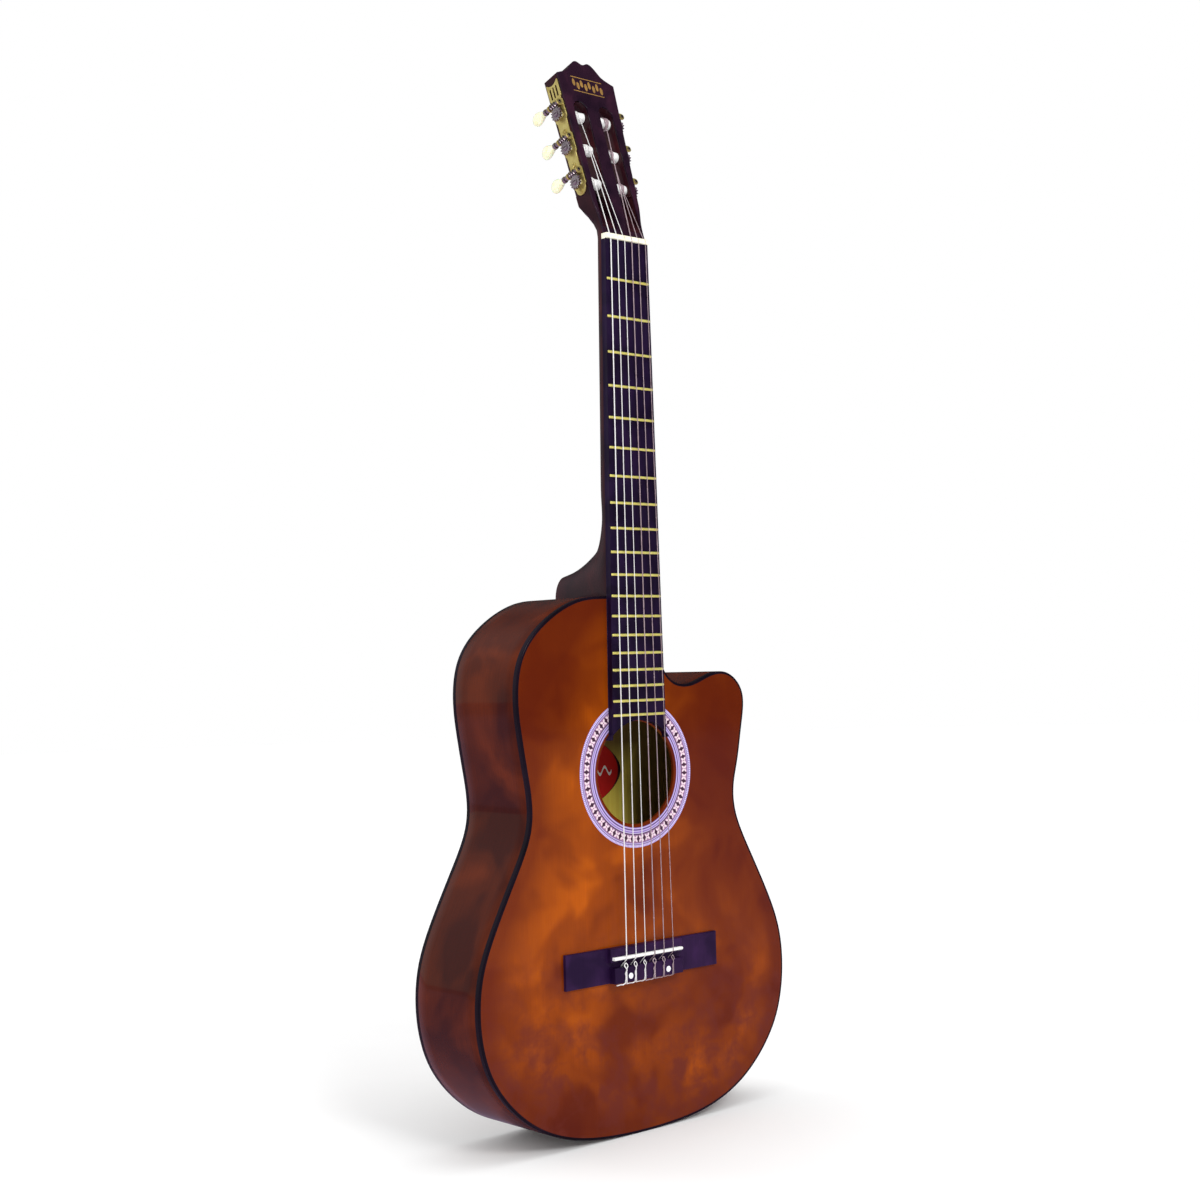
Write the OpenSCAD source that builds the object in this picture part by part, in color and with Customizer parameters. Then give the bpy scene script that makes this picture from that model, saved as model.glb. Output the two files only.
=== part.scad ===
// Classical guitar with a cutaway body, a slotted head and six worm-geared tuning machines.
// X points to the treble side, Y to the back and Z up to the head.
// The origin is under the middle of the guitar, level with the body's tail.

/* [Strings and neck] */
// Length of an open string from nut to saddle
scale_length = 650; // [646:1:654]
// Width of the neck at the nut
nut_w = 51; // [50:0.5:52]
// Width of the fretboard at the twelfth fret
joint_w = 61; // [60:0.5:62]
// Thickness of the fretboard
fretboard_t = 6; // [5.5:0.5:6.5]
// Number of frets
fret_count = 19; // [17:1:19]
// Distance between the outer strings at the nut
nut_spread = 43; // [42:0.5:43]
// Distance between the outer strings at the saddle
saddle_spread = 58; // [57:0.5:59]

/* [Body] */
// Length of the body from tail to neck joint
body_length = 487; // [484:1:490]
// Width of the lower bout
lower_bout = 375; // [370:1:380]
// Depth of the body, front to back
body_depth = 92; // [88:1:96]
// Thickness of the soundboard and of the back
plate_t = 3; // [2.5:0.5:3]
// Thickness of the ribs
rib_t = 2.5; // [2:0.5:3]
// Height of each binding strip
binding_h = 5; // [4:0.5:6]
// Radius of the sound hole
hole_r = 47; // [46:0.5:48]
// Height of the sound hole's centre above the tail
hole_z = 326; // [325:1:327]

/* [Head] */
// Angle at which the head leans back
head_tilt = 17; // [16:0.5:18]
// Thickness of the head with its veneer
head_t = 20; // [19.5:0.5:20.5]
// Distance between neighbouring tuning machines
tuner_pitch = 35; // [34.5:0.5:35]

/* [Tuning machines] */
// Teeth on each gear
gear_teeth = 14; // [14:1:14]
// Tooth module, the pitch diameter over the number of teeth
tooth_module = 0.9; // [0.88:0.01:0.92]
// Radius of the string rollers
roller_r = 5; // [4.9:0.1:5]
// Radial clearance of every turning fit
running_gap = 0.05; // [0.03:0.01:0.08]

/* [Hidden] */

// Body planes: the front of the soundboard is 40 mm ahead of the origin.
board_y = -40;
back_y = board_y + body_depth;
nut_z = body_length + scale_length / 2;
saddle_z = nut_z - scale_length;
lining_w = 6.5;
lining_h = 13;
block_half = 40;
block_len = 40;
tail_half = 32;
tail_len = 22;

// Control points of the body outline, from the neck joint down each side, before scaling.
drawn_w = 375;
drawn_length = 487;
treble_upper = [[28, 487], [28, 455], [32, 428], [47, 405], [74, 404], [94, 414], [122, 419],
    [147, 397], [139, 364], [133, 329]];
lower_half = [[125, 308], [126, 279], [146, 243], [166, 207], [185, 168], [189, 129], [184, 94],
    [170, 62], [134, 26], [89, 7], [45, 1]];
bass_upper = [[-131, 339], [-135, 363], [-140, 396], [-135, 436], [-106, 466], [-65, 487], [-30, 487]];

function flipped(p) = [for (i = [len(p) - 1 : -1 : 0]) [-p[i][0], p[i][1]]];
body_controls = [for (c = concat(treble_upper, lower_half, [[0, -0.5]], flipped(lower_half), bass_upper))
    [c[0] * lower_bout / drawn_w, c[1] * body_length / drawn_length]];

// Uniform cubic B-spline that starts and ends on its end control points.
function weights(t) = [pow(1 - t, 3), 3 * pow(t, 3) - 6 * t * t + 4, -3 * pow(t, 3) + 3 * t * t + 3 * t + 1,
    pow(t, 3)] / 6;
function spline(c, n) = let (last = len(c) - 1,
        p = concat([2 * c[0] - c[1]], c, [2 * c[last] - c[last - 1]]))
    concat([for (i = [0 : last - 1], k = [0 : n - 1]) weights(k / n) * [p[i], p[i + 1], p[i + 2], p[i + 3]]],
        [c[last]]);
outline = spline(body_controls, 4);

// The outline moved inwards by t, and kept t below the neck joint.
function inset(t) = [for (i = [0 : len(outline) - 1])
    let (d = outline[min(i + 1, len(outline) - 1)] - outline[max(i - 1, 0)], u = d / norm(d))
    [outline[i][0] + t * u[1], min(outline[i][1] - t * u[0], body_length - t)]];

// An outline in the X-Z plane made solid between two values of Y.
module slab(points, y0, y1) {
    translate([0, y1, 0]) rotate([90, 0, 0]) linear_extrude(y1 - y0) polygon(points);
}

module ring(t0, t1, y0, y1) {
    difference() {
        slab(inset(t0), y0, y1);
        slab(inset(t1), y0 - 1, y1 + 1);
    }
}

// A cylinder along Y.
module bore_y(x, z, r, y0, y1) {
    translate([x, y1, z]) rotate([90, 0, 0]) cylinder(r = r, h = y1 - y0, $fn = 96);
}

// ---- Body ----

rosette_in = 50;
rosette_out = 68.4;
rosette_t = 1;

module soundboard() {
    color([0.5, 0.22, 0.05]) difference() {
        slab(inset(rib_t), board_y, board_y + plate_t);
        bore_y(0, hole_z, hole_r, board_y - 1, board_y + plate_t + 1);
        difference() {
            bore_y(0, hole_z, rosette_out, board_y - 1, board_y + rosette_t);
            bore_y(0, hole_z, rosette_in, board_y - 2, board_y + rosette_t + 1);
        }
    }
}

module rosette() {
    color([0.75, 0.65, 0.85]) difference() {
        bore_y(0, hole_z, rosette_out, board_y, board_y + rosette_t);
        bore_y(0, hole_z, rosette_in, board_y - 1, board_y + rosette_t + 1);
    }
}

module back() {
    color([0.35, 0.14, 0.05]) slab(inset(rib_t), back_y - plate_t, back_y);
}

// The ribs between the two bindings, parted at the tail and behind the heel.
module rib(side) {
    color([0.38, 0.15, 0.05]) intersection() {
        ring(0, rib_t, board_y + binding_h, back_y - binding_h);
        translate([side > 0 ? 0 : -lower_bout, board_y, -10])
            cube([lower_bout, body_depth, body_length + 20]);
    }
}

module bindings() {
    color([0.08, 0.04, 0.06]) {
        ring(0, rib_t, board_y, board_y + binding_h);
        ring(0, rib_t, back_y - binding_h, back_y);
    }
}

module end_regions() {
    translate([-block_half, board_y - 1, body_length - block_len])
        cube([3 * block_half, body_depth + 2, block_len + 10]);
    translate([-tail_half, board_y - 1, -10]) cube([2 * tail_half, body_depth + 2, tail_len + 10]);
}

module linings() {
    color([0.8, 0.65, 0.4]) difference() {
        union() {
            ring(rib_t, rib_t + lining_w, board_y + plate_t, board_y + plate_t + lining_h);
            ring(rib_t, rib_t + lining_w, back_y - plate_t - lining_h, back_y - plate_t);
        }
        end_regions();
    }
}

module end_block(x0, z0, w, h) {
    color([0.75, 0.58, 0.35]) intersection() {
        slab(inset(rib_t), board_y + plate_t, back_y - plate_t);
        translate([x0, board_y, z0]) cube([w, body_depth, h]);
    }
}

module neck_block() {
    end_block(-block_half, body_length - block_len, 3 * block_half, block_len + 10);
}

module tail_block() {
    end_block(-tail_half, -10, 2 * tail_half, tail_len + 10);
}

// Seven fan struts and two cross bars under the soundboard.
fan_h = 5;
fan_w = 6;
bar_h = 14;
bar_w = 9;
fan_top_z = 258;
fan_foot_z = 72;

module cross_bar(z, w, y0, y1) {
    intersection() {
        slab(inset(rib_t + lining_w + 0.3), y0, y1);
        translate([-lower_bout, y0 - 1, z - w / 2]) cube([2 * lower_bout, y1 - y0 + 2, w]);
    }
}

module soundboard_braces() {
    color([0.82, 0.68, 0.45]) {
        for (i = [-3 : 3]) {
            top = [17 * i, fan_top_z - 2 * abs(i)];
            foot = [38 * i, fan_foot_z + 3 * i * i];
            run = norm(top - foot);
            translate([foot[0], board_y + plate_t, foot[1]])
                rotate([0, atan2(top[0] - foot[0], top[1] - foot[1]), 0])
                translate([-fan_w / 2, 0, 0]) cube([fan_w, fan_h, run]);
        }
        for (z = [268, 388]) cross_bar(z, bar_w, board_y + plate_t, board_y + plate_t + bar_h);
    }
}

module back_braces() {
    color([0.82, 0.68, 0.45])
        for (z = [112, 236, 396]) cross_bar(z, 12, back_y - plate_t - bar_h, back_y - plate_t);
}

// Oval paper label on the inside of the back, under the sound hole.
module label() {
    paper = [for (a = [0 : 7.5 : 352.5]) [60 * cos(a), hole_z - 3 + (32 - 4 * cos(2 * a)) * sin(a)]];
    color([0.65, 0.05, 0.05]) slab(paper, back_y - plate_t - 0.5, back_y - plate_t);
}

// ---- Bridge ----

bridge_w = 186;
bridge_top = saddle_z + 9.2;
bridge_foot = saddle_z - 22.2;
wing_t = 3.5;
front_t = 8;
tie_t = 11;
tie_half = 42;
tie_len = 14;
saddle_t = 3;
saddle_half = 42.6;
saddle_top = board_y - 11.5;
saddle_seat = board_y - 3;
tie_hole_y = board_y - 4.6;
dot_r = 2.8;
dot_z = bridge_foot + 5.5;

// Strings 1 to 6 count from the treble side.
string_d = [0.71, 0.82, 1.03, 0.74, 0.89, 1.1];
function string_r(i) = string_d[i - 1] / 2;
function spread_x(i, spread) = (3.5 - i) * spread / 5;

module block_on_board(x0, x1, z0, z1, h) {
    translate([x0, board_y - h, z0]) cube([x1 - x0, h, z1 - z0]);
}

module dots(r, t) {
    for (i = [1.5, 5.5]) bore_y(spread_x(i, saddle_spread), dot_z, r, board_y - tie_t, board_y - tie_t + t);
}

module bridge() {
    color([0.1, 0.05, 0.12]) difference() {
        union() {
            block_on_board(-bridge_w / 2, bridge_w / 2, bridge_foot, bridge_top, wing_t);
            block_on_board(-tie_half - 2, tie_half + 2, saddle_z - 3.5, bridge_top, front_t);
            block_on_board(-tie_half, tie_half, bridge_foot, bridge_foot + tie_len, tie_t);
        }
        translate([-saddle_half, saddle_seat - 20, saddle_z - saddle_t / 2])
            cube([2 * saddle_half, 20, saddle_t]);
        for (i = [1 : 6])
            translate([spread_x(i, saddle_spread), tie_hole_y, bridge_foot - 1])
                cylinder(r = 0.9, h = tie_len + 2, $fn = 24);
        dots(dot_r, 1);
    }
}

module bridge_dots() {
    color([0.95, 0.95, 0.95]) dots(dot_r, 1);
}

// Bone saddle with a rounded top.
module saddle() {
    crown_r = saddle_t / 2;
    color([0.97, 0.96, 0.92]) {
        translate([-saddle_half, saddle_top + crown_r, saddle_z - crown_r])
            cube([2 * saddle_half, saddle_seat - saddle_top - crown_r, saddle_t]);
        intersection() {
            translate([-saddle_half, saddle_top + crown_r, saddle_z]) rotate([0, 90, 0])
                cylinder(r = crown_r, h = 2 * saddle_half, $fn = 48);
            translate([-saddle_half, saddle_top - 1, saddle_z - saddle_t])
                cube([2 * saddle_half, crown_r + 1, 2 * saddle_t]);
        }
    }
}

// ---- Fretboard ----

function fret_s(n) = scale_length * (1 - pow(2, -n / 12));
function half_w(s) = (nut_w + (joint_w - nut_w) * s / (scale_length / 2)) / 2;
fret_slot_w = 0.6;
fret_slot_h = 2;
fret_crown = 1;
fret_half_w = 1.2;
board_end = 455;

module fretboard() {
    front = board_y - fretboard_t;
    sides = [[-half_w(0), nut_z], [half_w(0), nut_z], [half_w(board_end), nut_z - board_end],
        [-half_w(board_end), nut_z - board_end]];
    color([0.1, 0.04, 0.14]) difference() {
        slab(sides, front, board_y);
        bore_y(0, hole_z, hole_r + 1.5, front - 1, board_y + 1);
        for (n = [1 : fret_count])
            translate([-joint_w, front - 1, nut_z - fret_s(n) - fret_slot_w / 2])
                cube([2 * joint_w, fret_slot_h + 1, fret_slot_w]);
    }
}

// Fret wire: a low round crown on a tang, with the crown's arc through its two feet.
module fret_section() {
    r = (fret_half_w * fret_half_w + fret_crown * fret_crown) / (2 * fret_crown);
    intersection() {
        translate([r - fret_crown, 0]) circle(r = r, $fn = 48);
        translate([-fret_crown - 1, -2 * fret_half_w]) square([fret_crown + 1, 4 * fret_half_w]);
    }
    translate([-0.1, -fret_slot_w / 2]) square([fret_slot_h + 0.1, fret_slot_w]);
}

module frets() {
    color([0.9, 0.75, 0.1])
        for (n = [1 : fret_count]) {
            half = half_w(fret_s(n)) - 0.4;
            translate([-half, board_y - fretboard_t, nut_z - fret_s(n)])
                rotate([90, 0, 90]) linear_extrude(2 * half) fret_section();
        }
}

// ---- Head frame ----

head_y = board_y - 4.5;
head_z = nut_z + 2;
veneer_t = 2;
block_start = 12;
veneer_start = 4.2;
side_foot = [29, 40];
side_top = [35, 168.5];
side_lean = atan2(side_top[0] - side_foot[0], side_top[1] - side_foot[1]);
slot_in = 7;
slot_out = 24;
slot_foot = 10;
slot_top = 142;
ramp_slope = 0.5;
tuner_n = head_t / 2;
first_tuner_u = 59.5;

// Head coordinates: x across, n in from the front face, u up along the face.
module head_frame() {
    translate([0, head_y, head_z]) rotate([-head_tilt, 0, 0]) children();
}
function from_head(p) = [p[0], head_y + p[1] * cos(head_tilt) + p[2] * sin(head_tilt),
    head_z - p[1] * sin(head_tilt) + p[2] * cos(head_tilt)];
function to_head(p) = let (dy = p[1] - head_y, dz = p[2] - head_z)
    [p[0], dy * cos(head_tilt) - dz * sin(head_tilt), dy * sin(head_tilt) + dz * cos(head_tilt)];

head_waist = [[25.4, veneer_start], [25.3, block_start], [25.7, 20], [27.3, 28], [28.6, 35], side_foot];
head_crest = [side_top, [31, 170], [26, 172], [20.5, 174.5], [16.5, 180], [12, 185], [7, 187.5],
    [2.5, 184.5], [0, 184]];
waist_curve = spline(head_waist, 3);
crest_curve = spline(head_crest, 4);
head_half = concat(waist_curve, crest_curve);
head_outline = concat(head_half,
    [for (i = [len(head_half) - 2 : -1 : 0]) [-head_half[i][0], head_half[i][1]]]);

module head_slots() {
    for (side = [-1, 1]) {
        x0 = side > 0 ? slot_in : -slot_out;
        mid = (slot_in + slot_out) / 2 * side;
        half = (slot_out - slot_in) / 2;
        translate([x0, -1, slot_foot]) difference() {
            cube([2 * half, head_t + 2, slot_top - half - slot_foot]);
            rotate([0, 90, 0]) linear_extrude(2 * half)
                polygon([[1, 1], [-(head_t + 2) / ramp_slope, head_t + 3], [1, head_t + 3]]);
        }
        translate([mid, -1, slot_top - half]) rotate([-90, 0, 0])
            cylinder(r = half, h = head_t + 2, $fn = 48);
    }
}

// Machine coordinates on one side of the head: x out from the side face, y = n, z up along the side.
module machine_frame(side) {
    head_frame() mirror([side > 0 ? 0 : 1, 0, 0])
        translate([side_foot[0], 0, side_foot[1]]) rotate([0, side_lean, 0]) children();
}
function machine_z(k) = (first_tuner_u + k * tuner_pitch - side_foot[1]) / cos(side_lean);
function tuner_side(i) = i < 4 ? 1 : -1;
// Strings 1 and 6 go to the machines nearest the nut, 3 and 4 to those nearest the tip.
function tuner_place(i) = i < 4 ? i - 1 : 6 - i;
module tuner_frame(i) {
    machine_frame(tuner_side(i)) translate([0, tuner_n, machine_z(tuner_place(i))]) children();
}
function side_x(u) = side_foot[0] + (u - side_foot[1]) * tan(side_lean);
function axis_u(i) = first_tuner_u + tuner_place(i) * tuner_pitch;

roller_tip_r = 3;
roller_tip_len = 3;

// Distance from the side face to a given |x|, measured along the roller's axis.
function reach(i, x) = (side_x(axis_u(i)) - x) * cos(side_lean);

module roller_bores() {
    for (i = [1 : 6]) tuner_frame(i) {
        wall = reach(i, slot_out) + 2;
        translate([-wall, 0, 0]) rotate([0, 90, 0])
            cylinder(r = roller_r + running_gap, h = wall + 1, $fn = 64);
        translate([-reach(i, slot_in) - roller_tip_len - 0.3, 0, 0]) rotate([0, 90, 0])
            cylinder(r = roller_tip_r + running_gap, h = roller_tip_len + 2, $fn = 48);
    }
}

screw_spots = [10.5, machine_z(0) + tuner_pitch / 2, machine_z(1) + tuner_pitch / 2, 104];
screw_r = 1.2;
screw_len = 7;

module screw_pilots() {
    for (side = [-1, 1], z = screw_spots)
        machine_frame(side) translate([-screw_len, tuner_n, z]) rotate([0, 90, 0])
            cylinder(r = screw_r, h = screw_len + 2, $fn = 24);
}

// The head's foot: sections [height, back, half width, squareness] that round off towards the neck.
foot_sections = [[block_start, 17.6, 25.3, 2.5], [20, 18.3, 26.2, 2.9], [28, 19.3, 28.2, 4],
    [36, 20.2, 31, 7], [44, 21, 35, 14], [200, 22, 60, 14]];

module headstock() {
    color([0.2, 0.08, 0.08]) difference() {
        head_frame() intersection() {
            slab(head_outline, veneer_t, head_t);
            loft([for (f = foot_sections) neck_ring([veneer_t - 1, f[0]], [f[1], f[0]], f[2], f[3])]);
        }
        head_frame() head_slots();
        roller_bores();
        screw_pilots();
    }
}

module head_veneer() {
    color([0.12, 0.05, 0.1]) head_frame() difference() {
        slab(head_outline, 0, veneer_t);
        head_slots();
    }
}

// ---- Neck ----

// One cross-section of the neck: a flat front edge at a, a rounded back that reaches b.
function neck_ring(a, b, w, e) = [for (k = [0 : 12])
    let (c = cos(15 * k), d = pow(abs(sin(15 * k)), 2 / e))
    [w * sign(c) * pow(abs(c), 2 / e), a[0] + d * (b[0] - a[0]), a[1] + d * (b[1] - a[1])]];
function head_yz(n, u) = let (p = from_head([0, n, u])) [p[1], p[2]];
function shaft_depth(s) = 15.5 + 2.5 * s / 230;
function shaft_ring(s) =
    neck_ring([board_y, nut_z - s], [board_y + shaft_depth(s), nut_z - s], half_w(s), 2.3);

// Heel sections: front edge, back edge, half width. The front edge turns the corner at the body.
heel_back = [[250, 19, 262, 0], [261, 22.5, 280, 0], [271, 28, 300, 0], [280, 37, 325, 2],
    [287, 48, 325, 18], [293, 60, 325, 38], [298, 74, 325, 62]];
function heel_ring(h) = neck_ring([board_y + h[3], nut_z - h[2]], [board_y + h[1], nut_z - h[0]],
    half_w(h[2]) - 0.5 - 0.18 * h[3], 2.1);
neck_rings = concat(
    [neck_ring(head_yz(veneer_t, block_start), head_yz(foot_sections[0][1], block_start), 25.3, 2.5),
     neck_ring(head_yz(veneer_t, veneer_start), [board_y + 15.9, nut_z + 2], 25.4, 2.4),
     neck_ring([board_y, nut_z + 5.1], [board_y + 15.6, nut_z - 6], 25.4, 2.3)],
    [for (s = [20, 40, 90, 140, 190, 230]) shaft_ring(s)],
    [for (h = heel_back) heel_ring(h)],
    [neck_ring([back_y, body_length], [back_y, body_length + 23], 14, 2.1)]);

// Closed skin over rings that all have the same number of points.
module loft(rings) {
    m = len(rings[0]);
    last = len(rings) - 1;
    points = [for (r = rings, p = r) p];
    walls = [for (i = [0 : last - 1], k = [0 : m - 1]) let (a = i * m + k, b = i * m + (k + 1) % m)
        each [[a, a + m, b + m], [a, b + m, b]]];
    polyhedron(points, concat(walls, [[for (k = [0 : m - 1]) k], [for (k = [m - 1 : -1 : 0]) last * m + k]]));
}

module neck() {
    color([0.25, 0.1, 0.06]) loft(neck_rings);
}

// ---- Nut ----

nut_len = 5;
nut_string_y = board_y - 7.8;
nut_top = board_y - 8.8;

// Where the axis of a string crosses the nut's front edge and the top of the saddle.
function nut_point(i) = [spread_x(i, nut_spread), nut_string_y - string_r(i), nut_z];
function saddle_point(i) = [spread_x(i, saddle_spread), saddle_top - string_r(i) - 0.03, saddle_z];

wrap_gap = 0.08;
// |x| at which each string meets its roller.
meet_x = [17, 13.5, 16.5, 16.5, 13.5, 17];
function wrap_r(i) = roller_r + string_r(i) + wrap_gap;
// Roller centre at the place where the string meets it, in head coordinates.
function roller_mid(i) = let (x = meet_x[i - 1], u = axis_u(i))
    [tuner_side(i) * x, tuner_n, u + (side_x(u) - x) * tan(side_lean)];
// Angle round the roller at which the string from the nut touches it, 0 pointing up the head.
function touch_angle(i) =
    let (p = to_head(nut_point(i)), c = roller_mid(i), du = p[2] - c[2], dn = p[1] - c[1])
    atan2(dn, du) + acos(wrap_r(i) / norm([du, dn]));
function round_roller(i, a) = let (c = roller_mid(i))
    from_head([c[0], c[1] + wrap_r(i) * sin(a), c[2] + wrap_r(i) * cos(a)]);

module nut() {
    color([0.96, 0.93, 0.82]) difference() {
        translate([-nut_w / 2, nut_top, nut_z]) cube([nut_w, board_y - nut_top, nut_len]);
        translate([-nut_w, nut_top, nut_z + 1]) rotate([20, 0, 0])
            translate([0, -5, 0]) cube([2 * nut_w, 5, 10]);
        for (i = [1 : 6]) {
            a = nut_point(i);
            d = round_roller(i, touch_angle(i)) - a;
            r = string_r(i) + 0.06;
            translate(a) rotate([-atan2(d[1], d[2]), atan2(d[0], norm([d[1], d[2]])), 0])
                translate([0, 0, -2]) union() {
                    cylinder(r = r, h = 12, $fn = 24);
                    translate([-r, -4, 0]) cube([2 * r, 4, 12]);
                }
        }
    }
}

// ---- Strings ----

// Route of a string's axis: round its roller, over the nut and saddle, through and over the tie block.
tie_front = bridge_foot + tie_len;
function saddle_turn(i) = let (x = spread_x(i, saddle_spread), c = saddle_top + saddle_t / 2,
        r = saddle_t / 2 + string_r(i) + 0.03)
    [for (a = [0, 12, 24, 36, 48]) [x, c - r * cos(a), saddle_z - r * sin(a)]];
function tie_turn(i) = let (x = spread_x(i, saddle_spread), g = string_r(i) + 0.05, lid = board_y - tie_t - g)
    [[x, tie_hole_y, tie_front + 1.2], [x, tie_hole_y, tie_front], [x, tie_hole_y, bridge_foot - 0.1],
     [x, tie_hole_y - 0.4, bridge_foot - g], [x, lid + 0.6, bridge_foot - g], [x, lid, bridge_foot + 0.5],
     [x, lid, tie_front - 0.4]];
function string_route(i) = concat(
    [for (k = [6 : -1 : 0]) round_roller(i, touch_angle(i) + 18 * k)],
    [nut_point(i)], saddle_turn(i), tie_turn(i));

function unit(v) = v / norm(v);
function heading(p, i) =
    let (a = min(i, len(p) - 2), b = max(i, 1))
    unit(unit(p[a + 1] - p[a]) + unit(p[b] - p[b - 1]));
// Eight-sided tube round a route that never runs along X.
function tube_rings(p, r) = [for (i = [0 : len(p) - 1])
    let (t = heading(p, i), s = unit([1, 0, 0] - t[0] * t), q = cross(t, s))
    [for (k = [0 : 7]) p[i] + r * (cos(45 * k) * s + sin(45 * k) * q)]];

module guitar_string(i) {
    color(i < 4 ? [0.9, 0.88, 0.85] : [0.75, 0.75, 0.75]) loft(tube_rings(string_route(i), string_r(i)));
}

// Turns of a string on its roller, beside the turn that comes from the nut.
wrap_turns = 3;
module wrap(i) {
    first = reach(i, meet_x[i - 1]);
    pitch = string_d[i - 1] + 0.12;
    color([0.8, 0.8, 0.8]) tuner_frame(i)
        for (k = [1 : wrap_turns]) translate([-first + k * pitch, 0, 0]) rotate([0, 90, 0])
            rotate_extrude($fn = 48)
                translate([roller_r + string_r(i) + 0.02, 0]) circle(r = string_r(i), $fn = 16);
}

// ---- Tuning machines ----

plate_w = 16;
strip_w = 13;
metal_t = 1.2;
plate_foot = 7;
plate_top = 123;
gear_mid = 5.2;
gear_w = 2.6;
gear_pitch_r = gear_teeth * tooth_module / 2;
worm_pitch_r = 2.6;
worm_z = gear_pitch_r + worm_pitch_r;
worm_pitch = PI * tooth_module;
addendum = 0.7;
tooth_half = 0.5;
worm_core_r = 1.85;
journal_r = 1.5;
ear_t = 1.4;
ear_y = 6.2;
shaft_out = 24;
stub_r = 1.4;
neck_r = 3;
gear_bore_r = 2;

module ear() {
    difference() {
        translate([metal_t - 0.1, 0, worm_z]) rotate([-90, 0, 0]) linear_extrude(ear_t) union() {
            translate([gear_mid - metal_t, 0]) circle(r = 3, $fn = 48);
            translate([0, -3]) square([gear_mid - metal_t, 6]);
        }
        translate([gear_mid, -1, worm_z]) rotate([-90, 0, 0])
            cylinder(r = journal_r + running_gap, h = ear_t + 2, $fn = 48);
    }
}

// Side plate: a bar with a rounded foot, wider at each machine, an open-work lyre with a hollowed tip,
// and two ears for each worm.
module side_plate(side) {
    color([0.85, 0.7, 0.25]) machine_frame(side) {
        difference() {
            translate([0, tuner_n, 0]) rotate([0, 90, 0]) linear_extrude(metal_t) difference() {
                union() {
                    translate([-plate_top, -strip_w / 2])
                        square([plate_top - plate_foot - strip_w / 2, strip_w]);
                    translate([-plate_foot - strip_w / 2, 0]) circle(r = strip_w / 2, $fn = 64);
                    for (k = [0 : 2])
                        translate([-machine_z(k) - 13, -plate_w / 2]) square([19, plate_w]);
                    translate([-plate_top, -plate_w / 2]) square([17, plate_w]);
                }
                translate([-plate_top - 6, 0]) circle(r = 9, $fn = 64);
                for (y = [-4.2, 0, 4.2]) translate([-plate_top + 5, y - 1]) square([11, 2]);
                for (k = [0 : 2]) translate([-machine_z(k), 0]) circle(r = neck_r + running_gap, $fn = 64);
                for (z = screw_spots) translate([-z, 0]) circle(r = screw_r + 0.1, $fn = 32);
            }
        }
        for (k = [0 : 2]) translate([0, tuner_n, machine_z(k)]) {
            translate([0, ear_y, 0]) ear();
            translate([0, -ear_y - ear_t, 0]) ear();
        }
    }
}

module bass_plate() {
    side_plate(-1);
}

module treble_plate() {
    side_plate(1);
}

module plate_screws() {
    color([0.8, 0.7, 0.35])
        for (side = [-1, 1], z = screw_spots)
            machine_frame(side) translate([0, tuner_n, z]) rotate([0, 90, 0]) {
                translate([0, 0, metal_t]) difference() {
                    intersection() {
                        cylinder(r = 2.3, h = 1.2, $fn = 32);
                        translate([0, 0, -2]) sphere(r = 3.2, $fn = 48);
                    }
                    translate([-3, -0.3, 0.7]) cube([6, 0.6, 1]);
                }
                translate([0, 0, -screw_len + 0.5])
                    cylinder(r = screw_r - 0.02, h = screw_len - 0.5 + metal_t, $fn = 24);
            }
}

// Helical thread as a ridge wound round the worm's core, centred on the gear's plane.
thread_step = 30;
thread_turns = 1.75;
function thread_ring(a) = let (y = worm_pitch * a / 360, in = worm_core_r / cos(thread_step / 2) + 0.01,
        out = worm_pitch_r + addendum)
    [for (p = [[in, -0.85], [out, -0.3], [out, 0.3], [in, 0.85]])
        [p[0] * sin(a), y + p[1], -p[0] * cos(a)]];

// Worm shaft: the thread between two journals, then a collar and the stub that holds the button.
module worm(i) {
    color([0.75, 0.75, 0.77]) tuner_frame(i) translate([gear_mid, 0, worm_z]) {
        rotate([-90, 0, 0]) rotate_extrude($fn = 64) polygon([
            [0, -8.4], [journal_r, -8.4], [journal_r, -ear_y + 0.1], [worm_core_r, -ear_y + 0.1],
            [worm_core_r, ear_y - 0.1], [journal_r, ear_y - 0.1], [journal_r, 7.8], [2.6, 7.8], [2.6, 9.6],
            [1.9, 9.6], [1.9, 11.2], [3.1, 11.6], [3.1, 13.6], [2.2, 14.2], [stub_r, 14.2],
            [stub_r, shaft_out], [0, shaft_out]]);
        loft([for (a = [-360 * thread_turns : thread_step : 360 * thread_turns]) thread_ring(a)]);
    }
}

// Flat oval button: elliptical sections along the shaft, with a bore for the stub.
button_y0 = 14.4;
button_len = 17;
function button_ring(t) = let (
        wide = 2.7 + 3.7 * pow(sin(min(t * 150, 90)), 1.5),
        tip = t < 0.6 ? 1 : sqrt(max(0.02, 1 - pow((t - 0.6) / 0.4, 2))),
        thick = 2.7 + 0.9 * sin(min(t * 180, 90)))
    [for (k = [0 : 15]) let (a = -22.5 * k)
        [thick * tip * cos(a), button_y0 + button_len * t, wide * tip * sin(a)]];

module button(i) {
    color([0.95, 0.93, 0.75]) tuner_frame(i) translate([gear_mid, 0, worm_z]) difference() {
        loft([for (t = [0, 0.1, 0.22, 0.36, 0.5, 0.62, 0.74, 0.84, 0.91, 0.96, 0.99, 1]) button_ring(t)]);
        rotate([-90, 0, 0]) cylinder(r = stub_r + 0.02, h = shaft_out + 0.2, $fn = 32);
    }
}

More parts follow.
